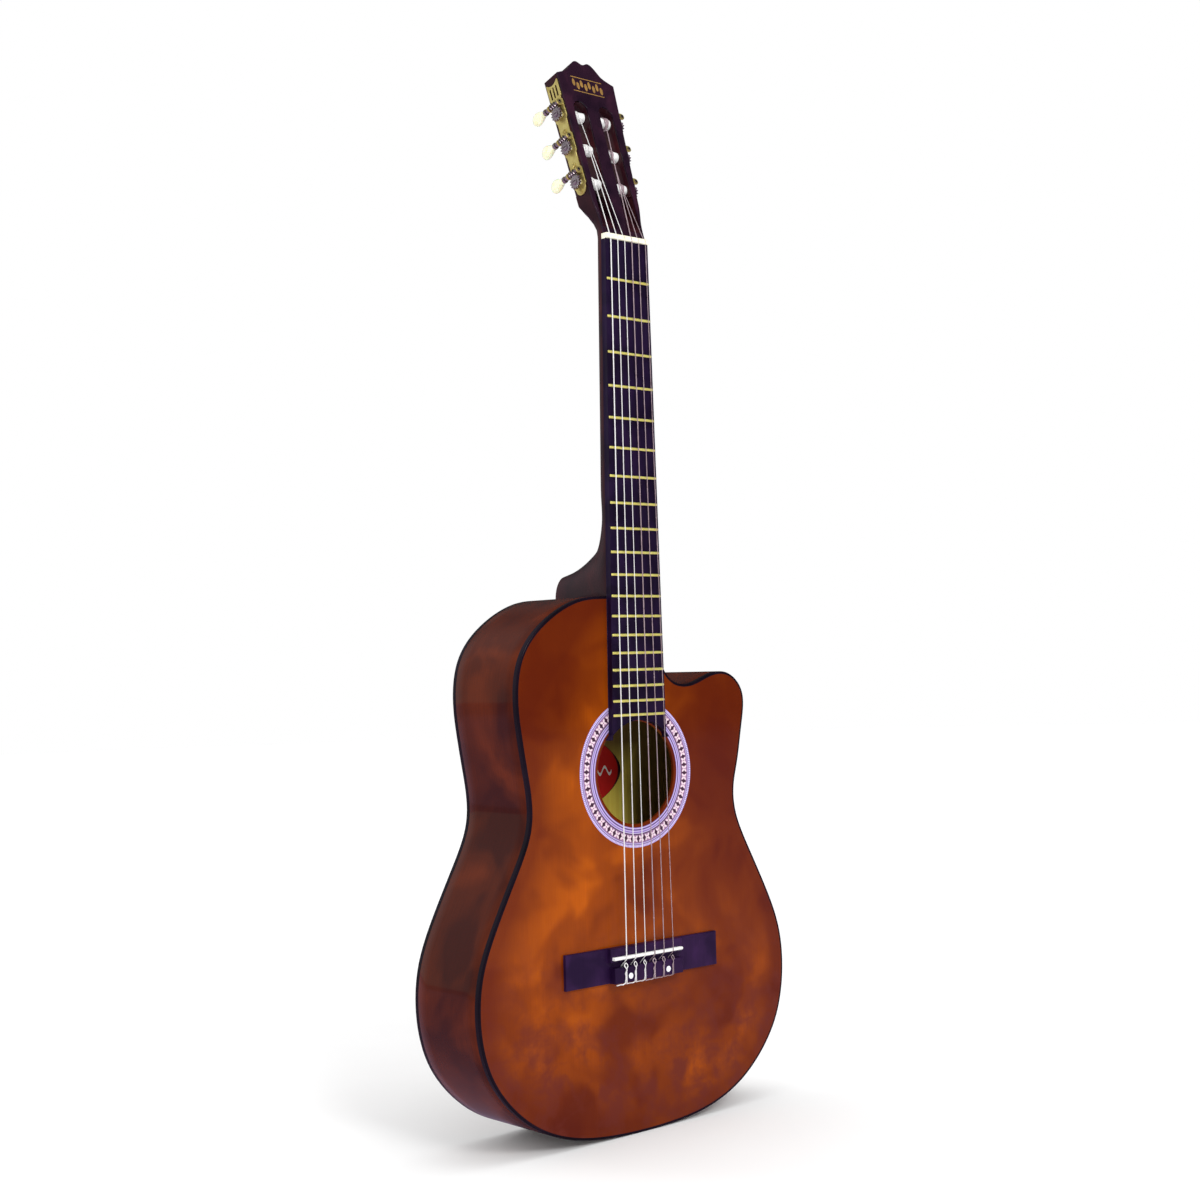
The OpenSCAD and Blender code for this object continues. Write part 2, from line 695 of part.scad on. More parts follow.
// Spur gear with straight-flanked teeth, a gap facing the worm, and its centre screw.
function gear_outline() = let (root = gear_pitch_r - addendum - 0.35, tip = gear_pitch_r + addendum,
        step = 360 / gear_teeth)
    [for (k = [0 : gear_teeth - 1]) let (m = (k + 0.5) * step)
        each [for (p = [[root, -0.95], [gear_pitch_r, -tooth_half], [tip, -0.22], [tip, 0.22],
                [gear_pitch_r, tooth_half], [root, 0.95]])
            let (a = m + atan2(p[1], p[0])) p[0] * [cos(a), sin(a)]]];

module gear(i) {
    tuner_frame(i) {
        color([0.8, 0.8, 0.82]) translate([gear_mid - gear_w / 2, 0, 0]) rotate([0, 90, 0])
            linear_extrude(gear_w) difference() {
                rotate(180) polygon(gear_outline());
                circle(r = gear_bore_r, $fn = 48);
            }
        color([0.7, 0.7, 0.72]) translate([gear_mid + gear_w / 2, 0, 0]) rotate([0, 90, 0]) {
            difference() {
                cylinder(r = 3, h = 1.4, $fn = 48);
                translate([-4, -0.35, 0.8]) cube([8, 0.7, 1]);
            }
            translate([0, 0, -10]) cylinder(r = gear_bore_r - 0.02, h = 10, $fn = 48);
        }
    }
}

// String roller: a neck through the side plate, the barrel, and a tip that runs in the middle of the head.
module roller(i) {
    inner = reach(i, slot_in) - 0.5;
    face = gear_mid - gear_w / 2;
    color([0.96, 0.96, 0.94]) tuner_frame(i) difference() {
        translate([-inner, 0, 0]) rotate([0, 90, 0]) {
            cylinder(r = roller_r, h = inner - 0.1, $fn = 64);
            translate([0, 0, inner - 0.2]) cylinder(r = neck_r, h = face + 0.2, $fn = 64);
            translate([0, 0, -roller_tip_len]) cylinder(r = roller_tip_r, h = roller_tip_len + 0.1, $fn = 48);
        }
        translate([-6, 0, 0]) rotate([0, 90, 0]) cylinder(r = gear_bore_r, h = 12, $fn = 48);
    }
}

soundboard();
back();
rib(-1);  // bass_rib
rib(1);  // treble_rib
bindings();
linings();
soundboard_braces();
back_braces();
neck_block();
tail_block();
label();
rosette();
bridge();
saddle();
bridge_dots();
neck();
headstock();
head_veneer();
fretboard();
frets();
nut();
bass_plate();
treble_plate();
plate_screws();
for (i = [1 : 6]) {
    guitar_string(i);
    worm(i);
    button(i);
    gear(i);
    roller(i);
    wrap(i);
}
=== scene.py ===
# Looks of a classical guitar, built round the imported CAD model. All lengths are metres in the CAD frame.
import math

import bmesh
import bpy
import numpy as np
from mathutils import Matrix, Vector


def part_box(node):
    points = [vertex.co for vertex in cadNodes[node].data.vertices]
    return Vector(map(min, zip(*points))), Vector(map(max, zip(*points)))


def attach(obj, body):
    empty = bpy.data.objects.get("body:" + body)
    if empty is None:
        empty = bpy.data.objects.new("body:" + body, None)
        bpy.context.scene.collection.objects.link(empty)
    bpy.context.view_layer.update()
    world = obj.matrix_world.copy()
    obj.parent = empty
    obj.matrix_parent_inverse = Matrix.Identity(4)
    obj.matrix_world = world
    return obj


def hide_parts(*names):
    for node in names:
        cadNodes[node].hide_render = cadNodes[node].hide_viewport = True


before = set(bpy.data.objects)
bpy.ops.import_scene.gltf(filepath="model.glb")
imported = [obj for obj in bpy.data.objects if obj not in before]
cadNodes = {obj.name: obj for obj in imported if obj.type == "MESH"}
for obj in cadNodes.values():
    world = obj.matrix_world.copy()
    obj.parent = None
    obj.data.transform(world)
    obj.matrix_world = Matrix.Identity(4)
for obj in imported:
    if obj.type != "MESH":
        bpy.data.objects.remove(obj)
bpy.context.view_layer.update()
mm = 0.001
print("frame loaded:", len(cadNodes), "CAD nodes")


# ---- shapes worked out with numpy ----

def spline(controls, steps):
    # uniform cubic B-spline: each span blends four neighbouring controls, the end ones are mirrored
    c = np.array(controls, float)
    p = np.vstack([2 * c[0] - c[1], c, 2 * c[-1] - c[-2]])
    t = np.linspace(0, 1, steps, endpoint=False)
    w = np.stack([(1 - t) ** 3, 3 * t ** 3 - 6 * t ** 2 + 4, -3 * t ** 3 + 3 * t ** 2 + 3 * t + 1, t ** 3],
                 1) / 6
    spans = np.stack([p[:-3], p[1:-2], p[2:-1], p[3:]], 1)
    return np.vstack([np.einsum("sk,nkd->nsd", w, spans).reshape(-1, c.shape[1]), c[-1]])


def through(values, steps):
    # smooth curve through the points: cubic Hermite pieces, slopes from the neighbours, knots by distance
    v = np.array(values, float)
    k = np.concatenate([[0], np.cumsum(np.sqrt(((v[1:] - v[:-1]) ** 2).sum(1)) + 1e-9)])
    slope = np.gradient(v, k, axis=0)
    h = (k[1:] - k[:-1])[:, None, None]
    t = np.linspace(0, 1, steps, endpoint=False)[None, :, None]
    a, b = v[:-1, None], v[1:, None]
    sa, sb = slope[:-1, None] * h, slope[1:, None] * h
    body = (2 * t ** 3 - 3 * t ** 2 + 1) * a + (t ** 3 - 2 * t ** 2 + t) * sa
    body = body + (3 * t ** 2 - 2 * t ** 3) * b + (t ** 3 - t ** 2) * sb
    return np.vstack([body.reshape(-1, v.shape[1]), v[-1]])


def evenly(points, count):
    # the same open line resampled at equal steps of its own length
    p = np.array(points, float)
    s = np.concatenate([[0], np.cumsum(np.sqrt(((p[1:] - p[:-1]) ** 2).sum(1)))])
    return np.stack([np.interp(np.linspace(0, s[-1], count), s, p[:, d]) for d in range(p.shape[1])], 1)


def gridPart(points, wrapU=False, wrapV=True, capped=True, uv=None):
    # quads between neighbouring rows and columns of points; a capped tube is closed by a fan at each end
    g = np.array(points, float)
    nu, nv = g.shape[:2]
    i, j = np.meshgrid(np.arange(nu if wrapU else nu - 1), np.arange(nv if wrapV else nv - 1), indexing="ij")
    i, j = i.ravel(), j.ravel()
    i2, j2 = (i + 1) % nu, (j + 1) % nv
    faces = np.stack([i * nv + j, i2 * nv + j, i2 * nv + j2, i * nv + j2], 1)
    verts = g.reshape(-1, 3)
    us, vs = uv if uv is not None else (np.arange(nu + 1) * mm, np.arange(nv + 1) * mm)
    corner = np.stack([np.stack([vs[a], us[b]], 1) for a, b in ((j, i), (j, i + 1), (j + 1, i + 1),
        (j + 1, i))], 1)
    parts = [dict(f=faces, uv=corner)]
    if capped and wrapV and not wrapU:
        for row, turn in ((0, 1), (nu - 1, -1)):
            ring = row * nv + np.arange(nv)
            fan = np.stack([np.full(nv, len(verts)), ring, np.roll(ring, -1)], 1)[:, ::turn]
            verts = np.vstack([verts, g[row].mean(0)])
            parts.append(dict(f=fan, uv=np.full((nv, 3, 2), us[row])))
    if wrapV and (capped or wrapU):
        a, b, c = verts[faces[:, 0]], verts[faces[:, 1]], verts[faces[:, 2]]
        d = verts[faces[:, 3]]
        o = verts.mean(0)
        volume = (np.cross(b - o, c - o) * (a - o)).sum() + (np.cross(c - o, d - o) * (a - o)).sum()
        if volume < 0:
            parts = [dict(f=p["f"][:, ::-1], uv=p["uv"][:, ::-1]) for p in parts]
    return dict(v=verts, f=[p["f"] for p in parts], uv=[p["uv"] for p in parts])


def moved(part, place):
    # the part carried by a 4x4 matrix; a mirroring matrix turns its faces round
    m = np.array(place, float)
    v = part["v"] @ m[:3, :3].T + m[:3, 3]
    back = np.linalg.det(m[:3, :3]) < 0
    return dict(v=v, f=[f[:, ::-1] if back else f for f in part["f"]],
                uv=[u[:, ::-1] if back else u for u in part["uv"]])


def lathePart(profile, sides):
    # a profile of (radius, height) turned round the local z axis; ends on the axis are closed by a fan
    p = np.array(profile, float)
    a = np.linspace(0, 2 * np.pi, sides, endpoint=False)
    ring = np.stack([np.cos(a), np.sin(a)], 1)
    g = np.concatenate([p[:, None, :1] * ring[None], np.repeat(p[:, None, 1:], sides, 1)], 2)
    return gridPart(g)


def tubePart(path, radius, sides):
    # rings square to the path, each frame carried on from the one before so that the tube never twists
    p = np.array(path, float)
    t = np.gradient(p, axis=0)
    t = t / np.sqrt((t ** 2).sum(1))[:, None]
    side = np.cross(t[0], [0, 0, 1.0])
    if np.abs(side).max() < 1e-3:
        side = np.cross(t[0], [0, 1.0, 0])
    sideways = []
    for k in range(len(p)):
        side = side - (side @ t[k]) * t[k]
        side = side / math.sqrt(side @ side)
        sideways.append(side)
    s = np.array(sideways)
    q = np.cross(t, s)
    a = np.linspace(0, 2 * np.pi, sides, endpoint=False)
    r = np.broadcast_to(np.array(radius, float), (len(p),))[:, None, None]
    g = p[:, None] + r * (np.cos(a)[None, :, None] * s[:, None] + np.sin(a)[None, :, None] * q[:, None])
    length = np.concatenate([[0], np.cumsum(np.sqrt(((p[1:] - p[:-1]) ** 2).sum(1)))])
    around = np.linspace(0, 1, sides + 1)
    return gridPart(g, uv=(np.append(length, length[-1]), around))


def flatPart(loops, thickness, bevel):
    # a sheet with holes: the loops filled as a flat curve, given its thickness up from z = 0 and round edges
    data = bpy.data.curves.new("sheetOutline", "CURVE")
    data.dimensions, data.fill_mode = "2D", "BOTH"
    data.extrude, data.offset = thickness / 2 - bevel, -bevel
    data.bevel_depth, data.bevel_resolution = bevel, 2
    for loop in loops:
        p = np.array(loop, float)
        line = data.splines.new("POLY")
        line.points.add(len(p) - 1)
        line.points.foreach_set("co", np.column_stack([p, np.zeros(len(p)), np.ones(len(p))]).ravel())
        line.use_cyclic_u = True
    thing = bpy.data.objects.new("sheetOutline", data)
    bpy.context.scene.collection.objects.link(thing)
    bpy.context.view_layer.update()
    mesh = bpy.data.meshes.new_from_object(thing.evaluated_get(bpy.context.evaluated_depsgraph_get()))
    bpy.data.objects.remove(thing)
    bm = bmesh.new()
    bm.from_mesh(mesh)
    bmesh.ops.remove_doubles(bm, verts=bm.verts, dist=1e-7)
    bmesh.ops.recalc_face_normals(bm, faces=bm.faces)
    bmesh.ops.triangulate(bm, faces=[f for f in bm.faces if len(f.verts) > 4])
    bm.verts.index_update()
    v = np.array([x.co for x in bm.verts], float)
    f3 = np.array([[x.index for x in f.verts] for f in bm.faces if len(f.verts) == 3], int).reshape(-1, 3)
    f4 = np.array([[x.index for x in f.verts] for f in bm.faces if len(f.verts) == 4], int).reshape(-1, 4)
    bm.free()
    bpy.data.meshes.remove(mesh)
    v[:, 2] += thickness / 2
    faces = [f for f in (f3, f4) if len(f)]
    return dict(v=v, f=faces, uv=[v[f][:, :, :2] for f in faces])


def makePiece(name, parts, materials, body, stands=(), sharp=35, fields=None):
    # one mesh from all the parts, with smooth shading broken at sharp edges, riding on its CAD body
    base, verts, faces, corners = 0, [], [], []
    for p in parts:
        verts.append(p["v"])
        for f, u in zip(p["f"], p["uv"]):
            faces.extend((f + base).tolist())
            corners.append(np.asarray(u, float).reshape(-1, 2))
        base += len(p["v"])
    mesh = bpy.data.meshes.new(name)
    mesh.from_pydata(np.vstack(verts).tolist(), [], faces)
    layer = mesh.uv_layers.new(name="along")
    layer.data.foreach_set("uv", np.vstack(corners).astype(np.float32).ravel())
    for m in materials:
        mesh.materials.append(m)
    for key, values in (fields or {}).items():
        mesh.attributes.new(key, "FLOAT", "POINT").data.foreach_set("value", np.asarray(values, np.float32))
    mesh.polygons.foreach_set("use_smooth", np.ones(len(mesh.polygons), bool))
    mesh.set_sharp_from_angle(angle=math.radians(sharp))
    mesh.update()
    thing = bpy.data.objects.new(name, mesh)
    bpy.context.scene.collection.objects.link(thing)
    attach(thing, body)
    if stands:
        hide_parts(*stands)
    return thing


def facing(origin, xAxis, yAxis, zAxis):
    # matrix whose columns are the three axes and the origin
    m = np.eye(4)
    m[:3, 0], m[:3, 1], m[:3, 2], m[:3, 3] = xAxis, yAxis, zAxis, origin
    return m


def outward(x):
    # local z turned to point along x, starting at the given x
    return facing((x, 0, 0), (0, 1, 0), (0, 0, 1), (1, 0, 0))


def circle(cx, cy, r, count):
    a = np.linspace(0, 2 * np.pi, count, endpoint=False)
    return np.stack([cx + r * np.cos(a), cy + r * np.sin(a)], 1)


def roundedBox(w, h, r, cx=0, cy=0, count=6):
    # rectangle about (cx, cy) with quarter-circle corners
    a = np.linspace(0, np.pi / 2, count)
    quarter = np.stack([np.cos(a), np.sin(a)], 1) * r + [w / 2 - r, h / 2 - r]
    mirrors = [(1, 1), (-1, 1), (-1, -1), (1, -1)]
    loops = [(quarter if k % 2 == 0 else quarter[::-1]) * m for k, m in enumerate(mirrors)]
    return np.vstack(loops) + [cx, cy]


# ---- finishes ----

def node(tree, kind, inputs=None, **settings):
    # a shader node with its settings and input values; an input given as a socket is linked
    n = tree.nodes.new(kind)
    for key, value in settings.items():
        setattr(n, key, value)
    for key, value in (inputs or {}).items():
        if isinstance(value, bpy.types.NodeSocket):
            tree.links.new(value, n.inputs[key])
        else:
            n.inputs[key].default_value = value
    return n


def treeOf(*values):
    # the node tree that holds whichever of the values is a socket
    return next(v.id_data for v in values if isinstance(v, bpy.types.NodeSocket))


def maths(operation, a, b=0.0, c=0.0, clamp=False):
    inputs = {0: a, 1: b, 2: c}
    return node(treeOf(a, b, c), "ShaderNodeMath", inputs, operation=operation, use_clamp=clamp).outputs[0]


def times(a, b, clamp=False):
    return maths("MULTIPLY", a, b, clamp=clamp)


def minus(a, b):
    return maths("SUBTRACT", a, b)


def scaled(a, factor, offset, clamp=False):
    return maths("MULTIPLY_ADD", a, factor, offset, clamp=clamp)


def lengthOf(a, b):
    return maths("SQRT", maths("ADD", times(a, a), times(b, b)))


def noise(v, scale, **inputs):
    return node(treeOf(v), "ShaderNodeTexNoise", {"Vector": v, "Scale": scale, **inputs}).outputs["Fac"]


def parted(v):
    return node(treeOf(v), "ShaderNodeSeparateXYZ", {0: v}).outputs


def feed(shader, key, socket):
    shader.id_data.links.new(socket, shader.inputs[key])


def ramp(factor, stops, smooth=False):
    # colours at positions from 0 to 1
    n = node(treeOf(factor), "ShaderNodeValToRGB", {"Fac": factor})
    n.color_ramp.interpolation = "EASE" if smooth else "LINEAR"
    while len(n.color_ramp.elements) < len(stops):
        n.color_ramp.elements.new(0.5)
    for e, (place, colour) in zip(n.color_ramp.elements, stops):
        e.position = place
        e.color = (*colour, 1) if len(colour) == 3 else colour
    return n.outputs["Color"]


def mixed(factor, a, b):
    tree = treeOf(factor)
    n = node(tree, "ShaderNodeMix", data_type="RGBA")
    for socket, value in ((n.inputs[0], factor), (n.inputs[6], a), (n.inputs[7], b)):
        if isinstance(value, bpy.types.NodeSocket):
            tree.links.new(value, socket)
        else:
            socket.default_value = (*value, 1) if isinstance(value, tuple) and len(value) == 3 else value
    return n.outputs[2]


def newGroup(name, inputs, outputs):
    # an effect that several finishes share: named inputs with defaults, named outputs
    tree = bpy.data.node_groups.new(name, "ShaderNodeTree")
    for label, kind, value in inputs:
        s = tree.interface.new_socket(name=label, in_out="INPUT", socket_type=kind)
        if value is not None:
            s.default_value = value
    for label, kind in outputs:
        tree.interface.new_socket(name=label, in_out="OUTPUT", socket_type=kind)
    return tree, tree.nodes.new("NodeGroupInput").outputs, tree.nodes.new("NodeGroupOutput").inputs


number, vector = "NodeSocketFloat", "NodeSocketVector"

# wood: fibres stretched along the vector's Z, and slow bands of figure
woodTree, gi, go = newGroup("woodFibre", [("Vector", vector, None), ("Fibre scale", number, 900.0),
                            ("Stretch", number, 0.03), ("Band scale", number, 60.0)],
                            [("Fibre", number), ("Bands", number)])
squeezed = node(woodTree, "ShaderNodeVectorMath", {0: gi["Vector"], 1: node(
    woodTree, "ShaderNodeCombineXYZ", {"X": 1.0, "Y": 1.0, "Z": gi["Stretch"]}).outputs[0]},
    operation="MULTIPLY").outputs[0]
fibre = noise(squeezed, gi["Fibre scale"], Detail=3.0)
bands = noise(squeezed, gi["Band scale"], Detail=5.0, Roughness=0.6, Distortion=0.6)
woodTree.links.new(fibre, go["Fibre"])
woodTree.links.new(bands, go["Bands"])

# lacquer: faint orange peel in the height, and fine hazing marks in the roughness
lacquerTree, gi, go = newGroup("lacquerSkin", [("Vector", vector, None), ("Roughness", number, 0.1),
    ("Haze", number, 0.06)],
                               [("Roughness", number), ("Height", number)])
peel = noise(gi["Vector"], 140.0, Detail=1.0)
smear = noise(gi["Vector"], 22.0, Detail=6.0, Roughness=0.7)
lacquerTree.links.new(scaled(smear, gi["Haze"], gi["Roughness"]), go["Roughness"])
lacquerTree.links.new(peel, go["Height"])

# metal: fine brushing and cloudy tarnish
metalTree, gi, go = newGroup("metalWear", [("Vector", vector, None), ("Roughness", number, 0.25),
                                           ("Spread", number, 0.2)],
                             [("Roughness", number), ("Tarnish", number), ("Height", number)])
scuff = noise(gi["Vector"], 700.0, Detail=4.0)
cloud = noise(gi["Vector"], 130.0, Detail=3.0)
metalTree.links.new(scaled(cloud, gi["Spread"], gi["Roughness"]), go["Roughness"])
metalTree.links.new(scaled(cloud, 1.8, -0.6, clamp=True), go["Tarnish"])
metalTree.links.new(scuff, go["Height"])


def newFinish(name, **constants):
    # an empty Principled material; constants go straight on the shader's own sockets
    m = bpy.data.materials.new(name)
    m.use_nodes = True
    bsdf = m.node_tree.nodes["Principled BSDF"]
    for key, value in constants.items():
        bsdf.inputs[key.replace("_", " ")].default_value = value
    return m, m.node_tree, bsdf


def useGroup(group, v, **values):
    n = node(treeOf(v), "ShaderNodeGroup", node_tree=group)
    feed(n, "Vector", v)
    for key, value in values.items():
        n.inputs[key.replace("_", " ")].default_value = value
    return n.outputs


def bumped(bsdf, height, strength, distance=0.2 * mm):
    b = node(treeOf(height), "ShaderNodeBump", {"Height": height, "Strength": strength, "Distance": distance})
    feed(bsdf, "Normal", b.outputs[0])


def objectVector(tree):
    return node(tree, "ShaderNodeTexCoord").outputs["Object"]


def alongVector(tree):
    # the piece's own map turned so that its length is the vector's Z
    uv = parted(node(tree, "ShaderNodeTexCoord").outputs["UV"])
    return node(tree, "ShaderNodeCombineXYZ", {"X": uv["X"], "Z": uv["Y"]}).outputs[0]


def stainedWood(name, light, dark, blotch, look, along=False):
    # clear gloss over a cloudy stain: light and dark colours mixed by soft clouds, grain lines on top
    m, tree, bsdf = newFinish(name, IOR=look["ior"])
    v = alongVector(tree) if along else objectVector(tree)
    clouds = noise(v, look["cloudScale"], Detail=2.5, Roughness=0.55, Distortion=0.4)
    wood = useGroup(woodTree, v, Fibre_scale=look["fibre"], Stretch=look["stretch"], Band_scale=look["bands"])
    base = ramp(clouds, [(0.34, dark), (0.5, blotch), (0.66, light)], smooth=True)
    grained = mixed(times(wood["Bands"], look["bandDepth"]), base, dark)
    grained = mixed(times(wood["Fibre"], look["fibreDepth"]), grained, tuple(c * 0.35 for c in dark))
    skin = useGroup(lacquerTree, v, Roughness=look["roughness"], Haze=look["haze"])
    feed(bsdf, "Roughness", skin["Roughness"])
    bumped(bsdf, skin["Height"], look["peel"])
    feed(bsdf, "Base Color", grained)
    return m


woodLook = dict(ior=1.3, cloudScale=16.0, fibre=1100.0, stretch=0.03, bands=55.0, bandDepth=0.25,
                fibreDepth=0.35,
                roughness=0.05, haze=0.07, peel=0.05)

soundboardFinish = stainedWood("soundboardStain", (0.56, 0.112, 0.001), (0.15, 0.021, 0.001),
                               (0.33, 0.060, 0.001), dict(woodLook, cloudScale=13.0))


def darkenBoard():
    # red-brown at the edge and at the upper left corner, painted shade darkening it to the right, mottled low
    # down
    bsdf = soundboardFinish.node_tree.nodes["Principled BSDF"]
    base = bsdf.inputs["Base Color"].links[0].from_socket
    tree = treeOf(base)
    v = objectVector(tree)
    edge = times(node(tree, "ShaderNodeAttribute", attribute_name="edge").outputs["Fac"], 1.25, clamp=True)
    spot = parted(v)
    # painted shade: the board darker to the right, as if the light came from the left
    paintedShadeRight = times(scaled(spot["X"], 7.0, 0.42, clamp=True), scaled(spot["Z"], 2.2, 0.30, clamp=True))
    corner = scaled(minus(spot["Z"], times(spot["X"], 1.2)), 6.0, -2.2, clamp=True)
    lowness = scaled(spot["Z"], -7.0, 1.5, clamp=True)
    mottle = noise(v, 40.0, Detail=4.0, Roughness=0.6, Distortion=0.3)
    patchy = times(scaled(mottle, 4.6, -1.95, clamp=True), times(lowness, 0.78))
    shadeAndCorner = maths("MAXIMUM", times(paintedShadeRight, 0.90), times(corner, 0.92))
    edgeAndPaintedShade = mixed(maths("MAXIMUM", times(edge, 0.78), shadeAndCorner), base, (0.085, 0.009, 0.003))
    feed(bsdf, "Base Color", mixed(patchy, edgeAndPaintedShade, (0.12, 0.020, 0.012)))


darkenBoard()
ribFinish = stainedWood("ribStain", (0.17, 0.026, 0.004), (0.045, 0.006, 0.003), (0.095, 0.014, 0.003),
                        dict(woodLook, ior=1.27, cloudScale=14.0, fibreDepth=0.6, bandDepth=0.5), along=True)
backFinish = stainedWood("backStain", (0.17, 0.045, 0.010), (0.05, 0.011, 0.008), (0.10, 0.024, 0.008),
                         dict(woodLook, cloudScale=9.0, fibreDepth=0.5))
neckFinish = stainedWood("neckStain", (0.060, 0.013, 0.016), (0.018, 0.005, 0.009), (0.034, 0.008, 0.012),
                         dict(woodLook, ior=1.25, cloudScale=20.0))
veneerFinish = stainedWood("headVeneer", (0.040, 0.012, 0.026), (0.012, 0.005, 0.012), (0.022, 0.008, 0.018),
                           dict(woodLook, cloudScale=30.0))
bindingFinish = stainedWood("bindingStrip", (0.012, 0.006, 0.014), (0.005, 0.003, 0.006),
                            (0.008, 0.004, 0.010), dict(woodLook, ior=1.22, roughness=0.2))
darkWoodLook = dict(woodLook, ior=1.25, cloudScale=30.0, roughness=0.34, haze=0.15, peel=0.15, fibreDepth=0.6)
fretboardFinish = stainedWood("fretboardWood", (0.020, 0.006, 0.042), (0.008, 0.002, 0.018),
                              (0.013, 0.004, 0.030), darkWoodLook)
bridgeFinish = stainedWood("bridgeWood", (0.052, 0.015, 0.085), (0.018, 0.005, 0.036),
                           (0.034, 0.010, 0.058), darkWoodLook)


def paleWood(name, light, dark):
    # bare softwood: straight annual lines along the vector's Z, with painted light and shade by position
    m, tree, bsdf = newFinish(name, Roughness=0.7)
    v = objectVector(tree)
    wood = useGroup(woodTree, v, Fibre_scale=1400.0, Stretch=0.02, Band_scale=160.0)
    base = ramp(wood["Bands"], [(0.3, light), (0.7, dark)], smooth=True)
    base = mixed(times(wood["Fibre"], 0.35), base, dark)
    # painted shade: brown and dim towards the treble side and up behind the fretboard; painted light: the pale
    # colour left bright below the hole, where light falls through it
    spot = parted(v)
    shadeTrebleSide = scaled(spot["X"], 40.0, -2.4, clamp=True)
    shadeAbove = scaled(spot["Z"], 24.0, -7.4, clamp=True)
    paintedShade = times(maths("MAXIMUM", shadeTrebleSide, shadeAbove), 0.88)
    feed(bsdf, "Base Color", mixed(paintedShade, base, (0.10, 0.036, 0.012)))
    feed(bsdf, "Roughness", scaled(wood["Fibre"], 0.2, 0.55))
    bumped(bsdf, wood["Fibre"], 0.2)
    return m


innerFinish = paleWood("innerWood", (1.0, 0.86, 0.16), (0.86, 0.64, 0.08))


def wornMetal(name, colour, tarnish, roughness, spread, shine=1.0):
    # polished metal with cloudy tarnish and fine scuffs
    m, tree, bsdf = newFinish(name, Metallic=shine)
    wear = useGroup(metalTree, objectVector(tree), Roughness=roughness, Spread=spread)
    feed(bsdf, "Base Color", mixed(wear["Tarnish"], colour, tarnish))
    feed(bsdf, "Roughness", wear["Roughness"])
    bumped(bsdf, wear["Height"], 0.05, 0.05 * mm)
    return m


fretFinish = wornMetal("fretBrass", (1.0, 0.95, 0.28), (0.90, 0.76, 0.16), 0.3, 0.15, shine=0.55)
plateFinish = wornMetal("plateBrass", (0.80, 0.67, 0.24), (0.52, 0.40, 0.10), 0.2, 0.25, shine=0.8)
nickelFinish = wornMetal("nickelSteel", (0.50, 0.44, 0.46), (0.20, 0.15, 0.17), 0.14, 0.22)
leafFinish = wornMetal("goldLeaf", (0.42, 0.23, 0.05), (0.20, 0.10, 0.03), 0.4, 0.2, shine=0.3)


def cloudyPlastic(name, light, dark, scale, roughness, subsurface=0.0):
    # plastic or bone: slow swirls between two near tones, polished
    m, tree, bsdf = newFinish(name, IOR=1.5, Subsurface_Weight=subsurface, Subsurface_Scale=2 * mm)
    v = objectVector(tree)
    swirl = noise(v, scale, Detail=4.0, Distortion=1.6)
    feed(bsdf, "Base Color", ramp(swirl, [(0.35, dark), (0.62, light)], smooth=True))
    skin = useGroup(lacquerTree, v, Roughness=roughness, Haze=0.08)
    feed(bsdf, "Roughness", skin["Roughness"])
    bumped(bsdf, skin["Height"], 0.04)
    return m


boneFinish = cloudyPlastic("creamBone", (0.93, 0.89, 0.74), (0.84, 0.79, 0.60), 90.0, 0.22)
saddleFinish = cloudyPlastic("whiteBone", (0.95, 0.94, 0.92), (0.88, 0.87, 0.85), 90.0, 0.2)
pearlFinish = cloudyPlastic("whitePearl", (0.95, 0.95, 0.97), (0.78, 0.80, 0.86), 400.0, 0.12)
buttonFinish = cloudyPlastic("creamPearloid", (0.95, 0.93, 0.70), (0.84, 0.82, 0.55), 160.0, 0.15,
                             subsurface=0.15)
rollerFinish = cloudyPlastic("whiteRoller", (0.93, 0.93, 0.92), (0.80, 0.80, 0.80), 120.0, 0.3)

# wound bass string: silver wire turns seen as fine ridges along the map's length
bassFinish, tree, bsdf = newFinish("silverWound", Metallic=0.25)
uv = parted(node(tree, "ShaderNodeTexCoord").outputs["UV"])
turns = maths("SINE", times(maths("ADD", times(uv["Y"], 4500.0), uv["X"]), 2 * math.pi))
# painted shade: the grooves between the turns are coloured darker than the crests
feed(bsdf, "Base Color", ramp(scaled(turns, 0.5, 0.5), [(0.0, (0.86, 0.85, 0.85)), (0.5, (1.0, 0.99, 0.97))]))
wear = useGroup(metalTree, objectVector(tree), Roughness=0.22, Spread=0.15)
feed(bsdf, "Roughness", wear["Roughness"])
bumped(bsdf, turns, 0.2, 0.00004)

# plain treble string: clear nylon, a little cloudy
nylonFinish, tree, bsdf = newFinish("clearNylon", IOR=1.4, Transmission_Weight=0.45)
wear = useGroup(lacquerTree, objectVector(tree), Roughness=0.16, Haze=0.2)
feed(bsdf, "Base Color", ramp(wear["Height"], [(0.3, (0.50, 0.36, 0.40)), (0.7, (0.66, 0.52, 0.56))]))
feed(bsdf, "Roughness", wear["Roughness"])
print("finishes ready:", len(bpy.data.materials))


# ---- camera, light and floor ----

view = dict(place=(-1.09504, -1.23921, 0.42641), yaw=0.72164, pitch=0.018831, roll=-0.0266595, lens=53.256,
            shiftY=0.025)


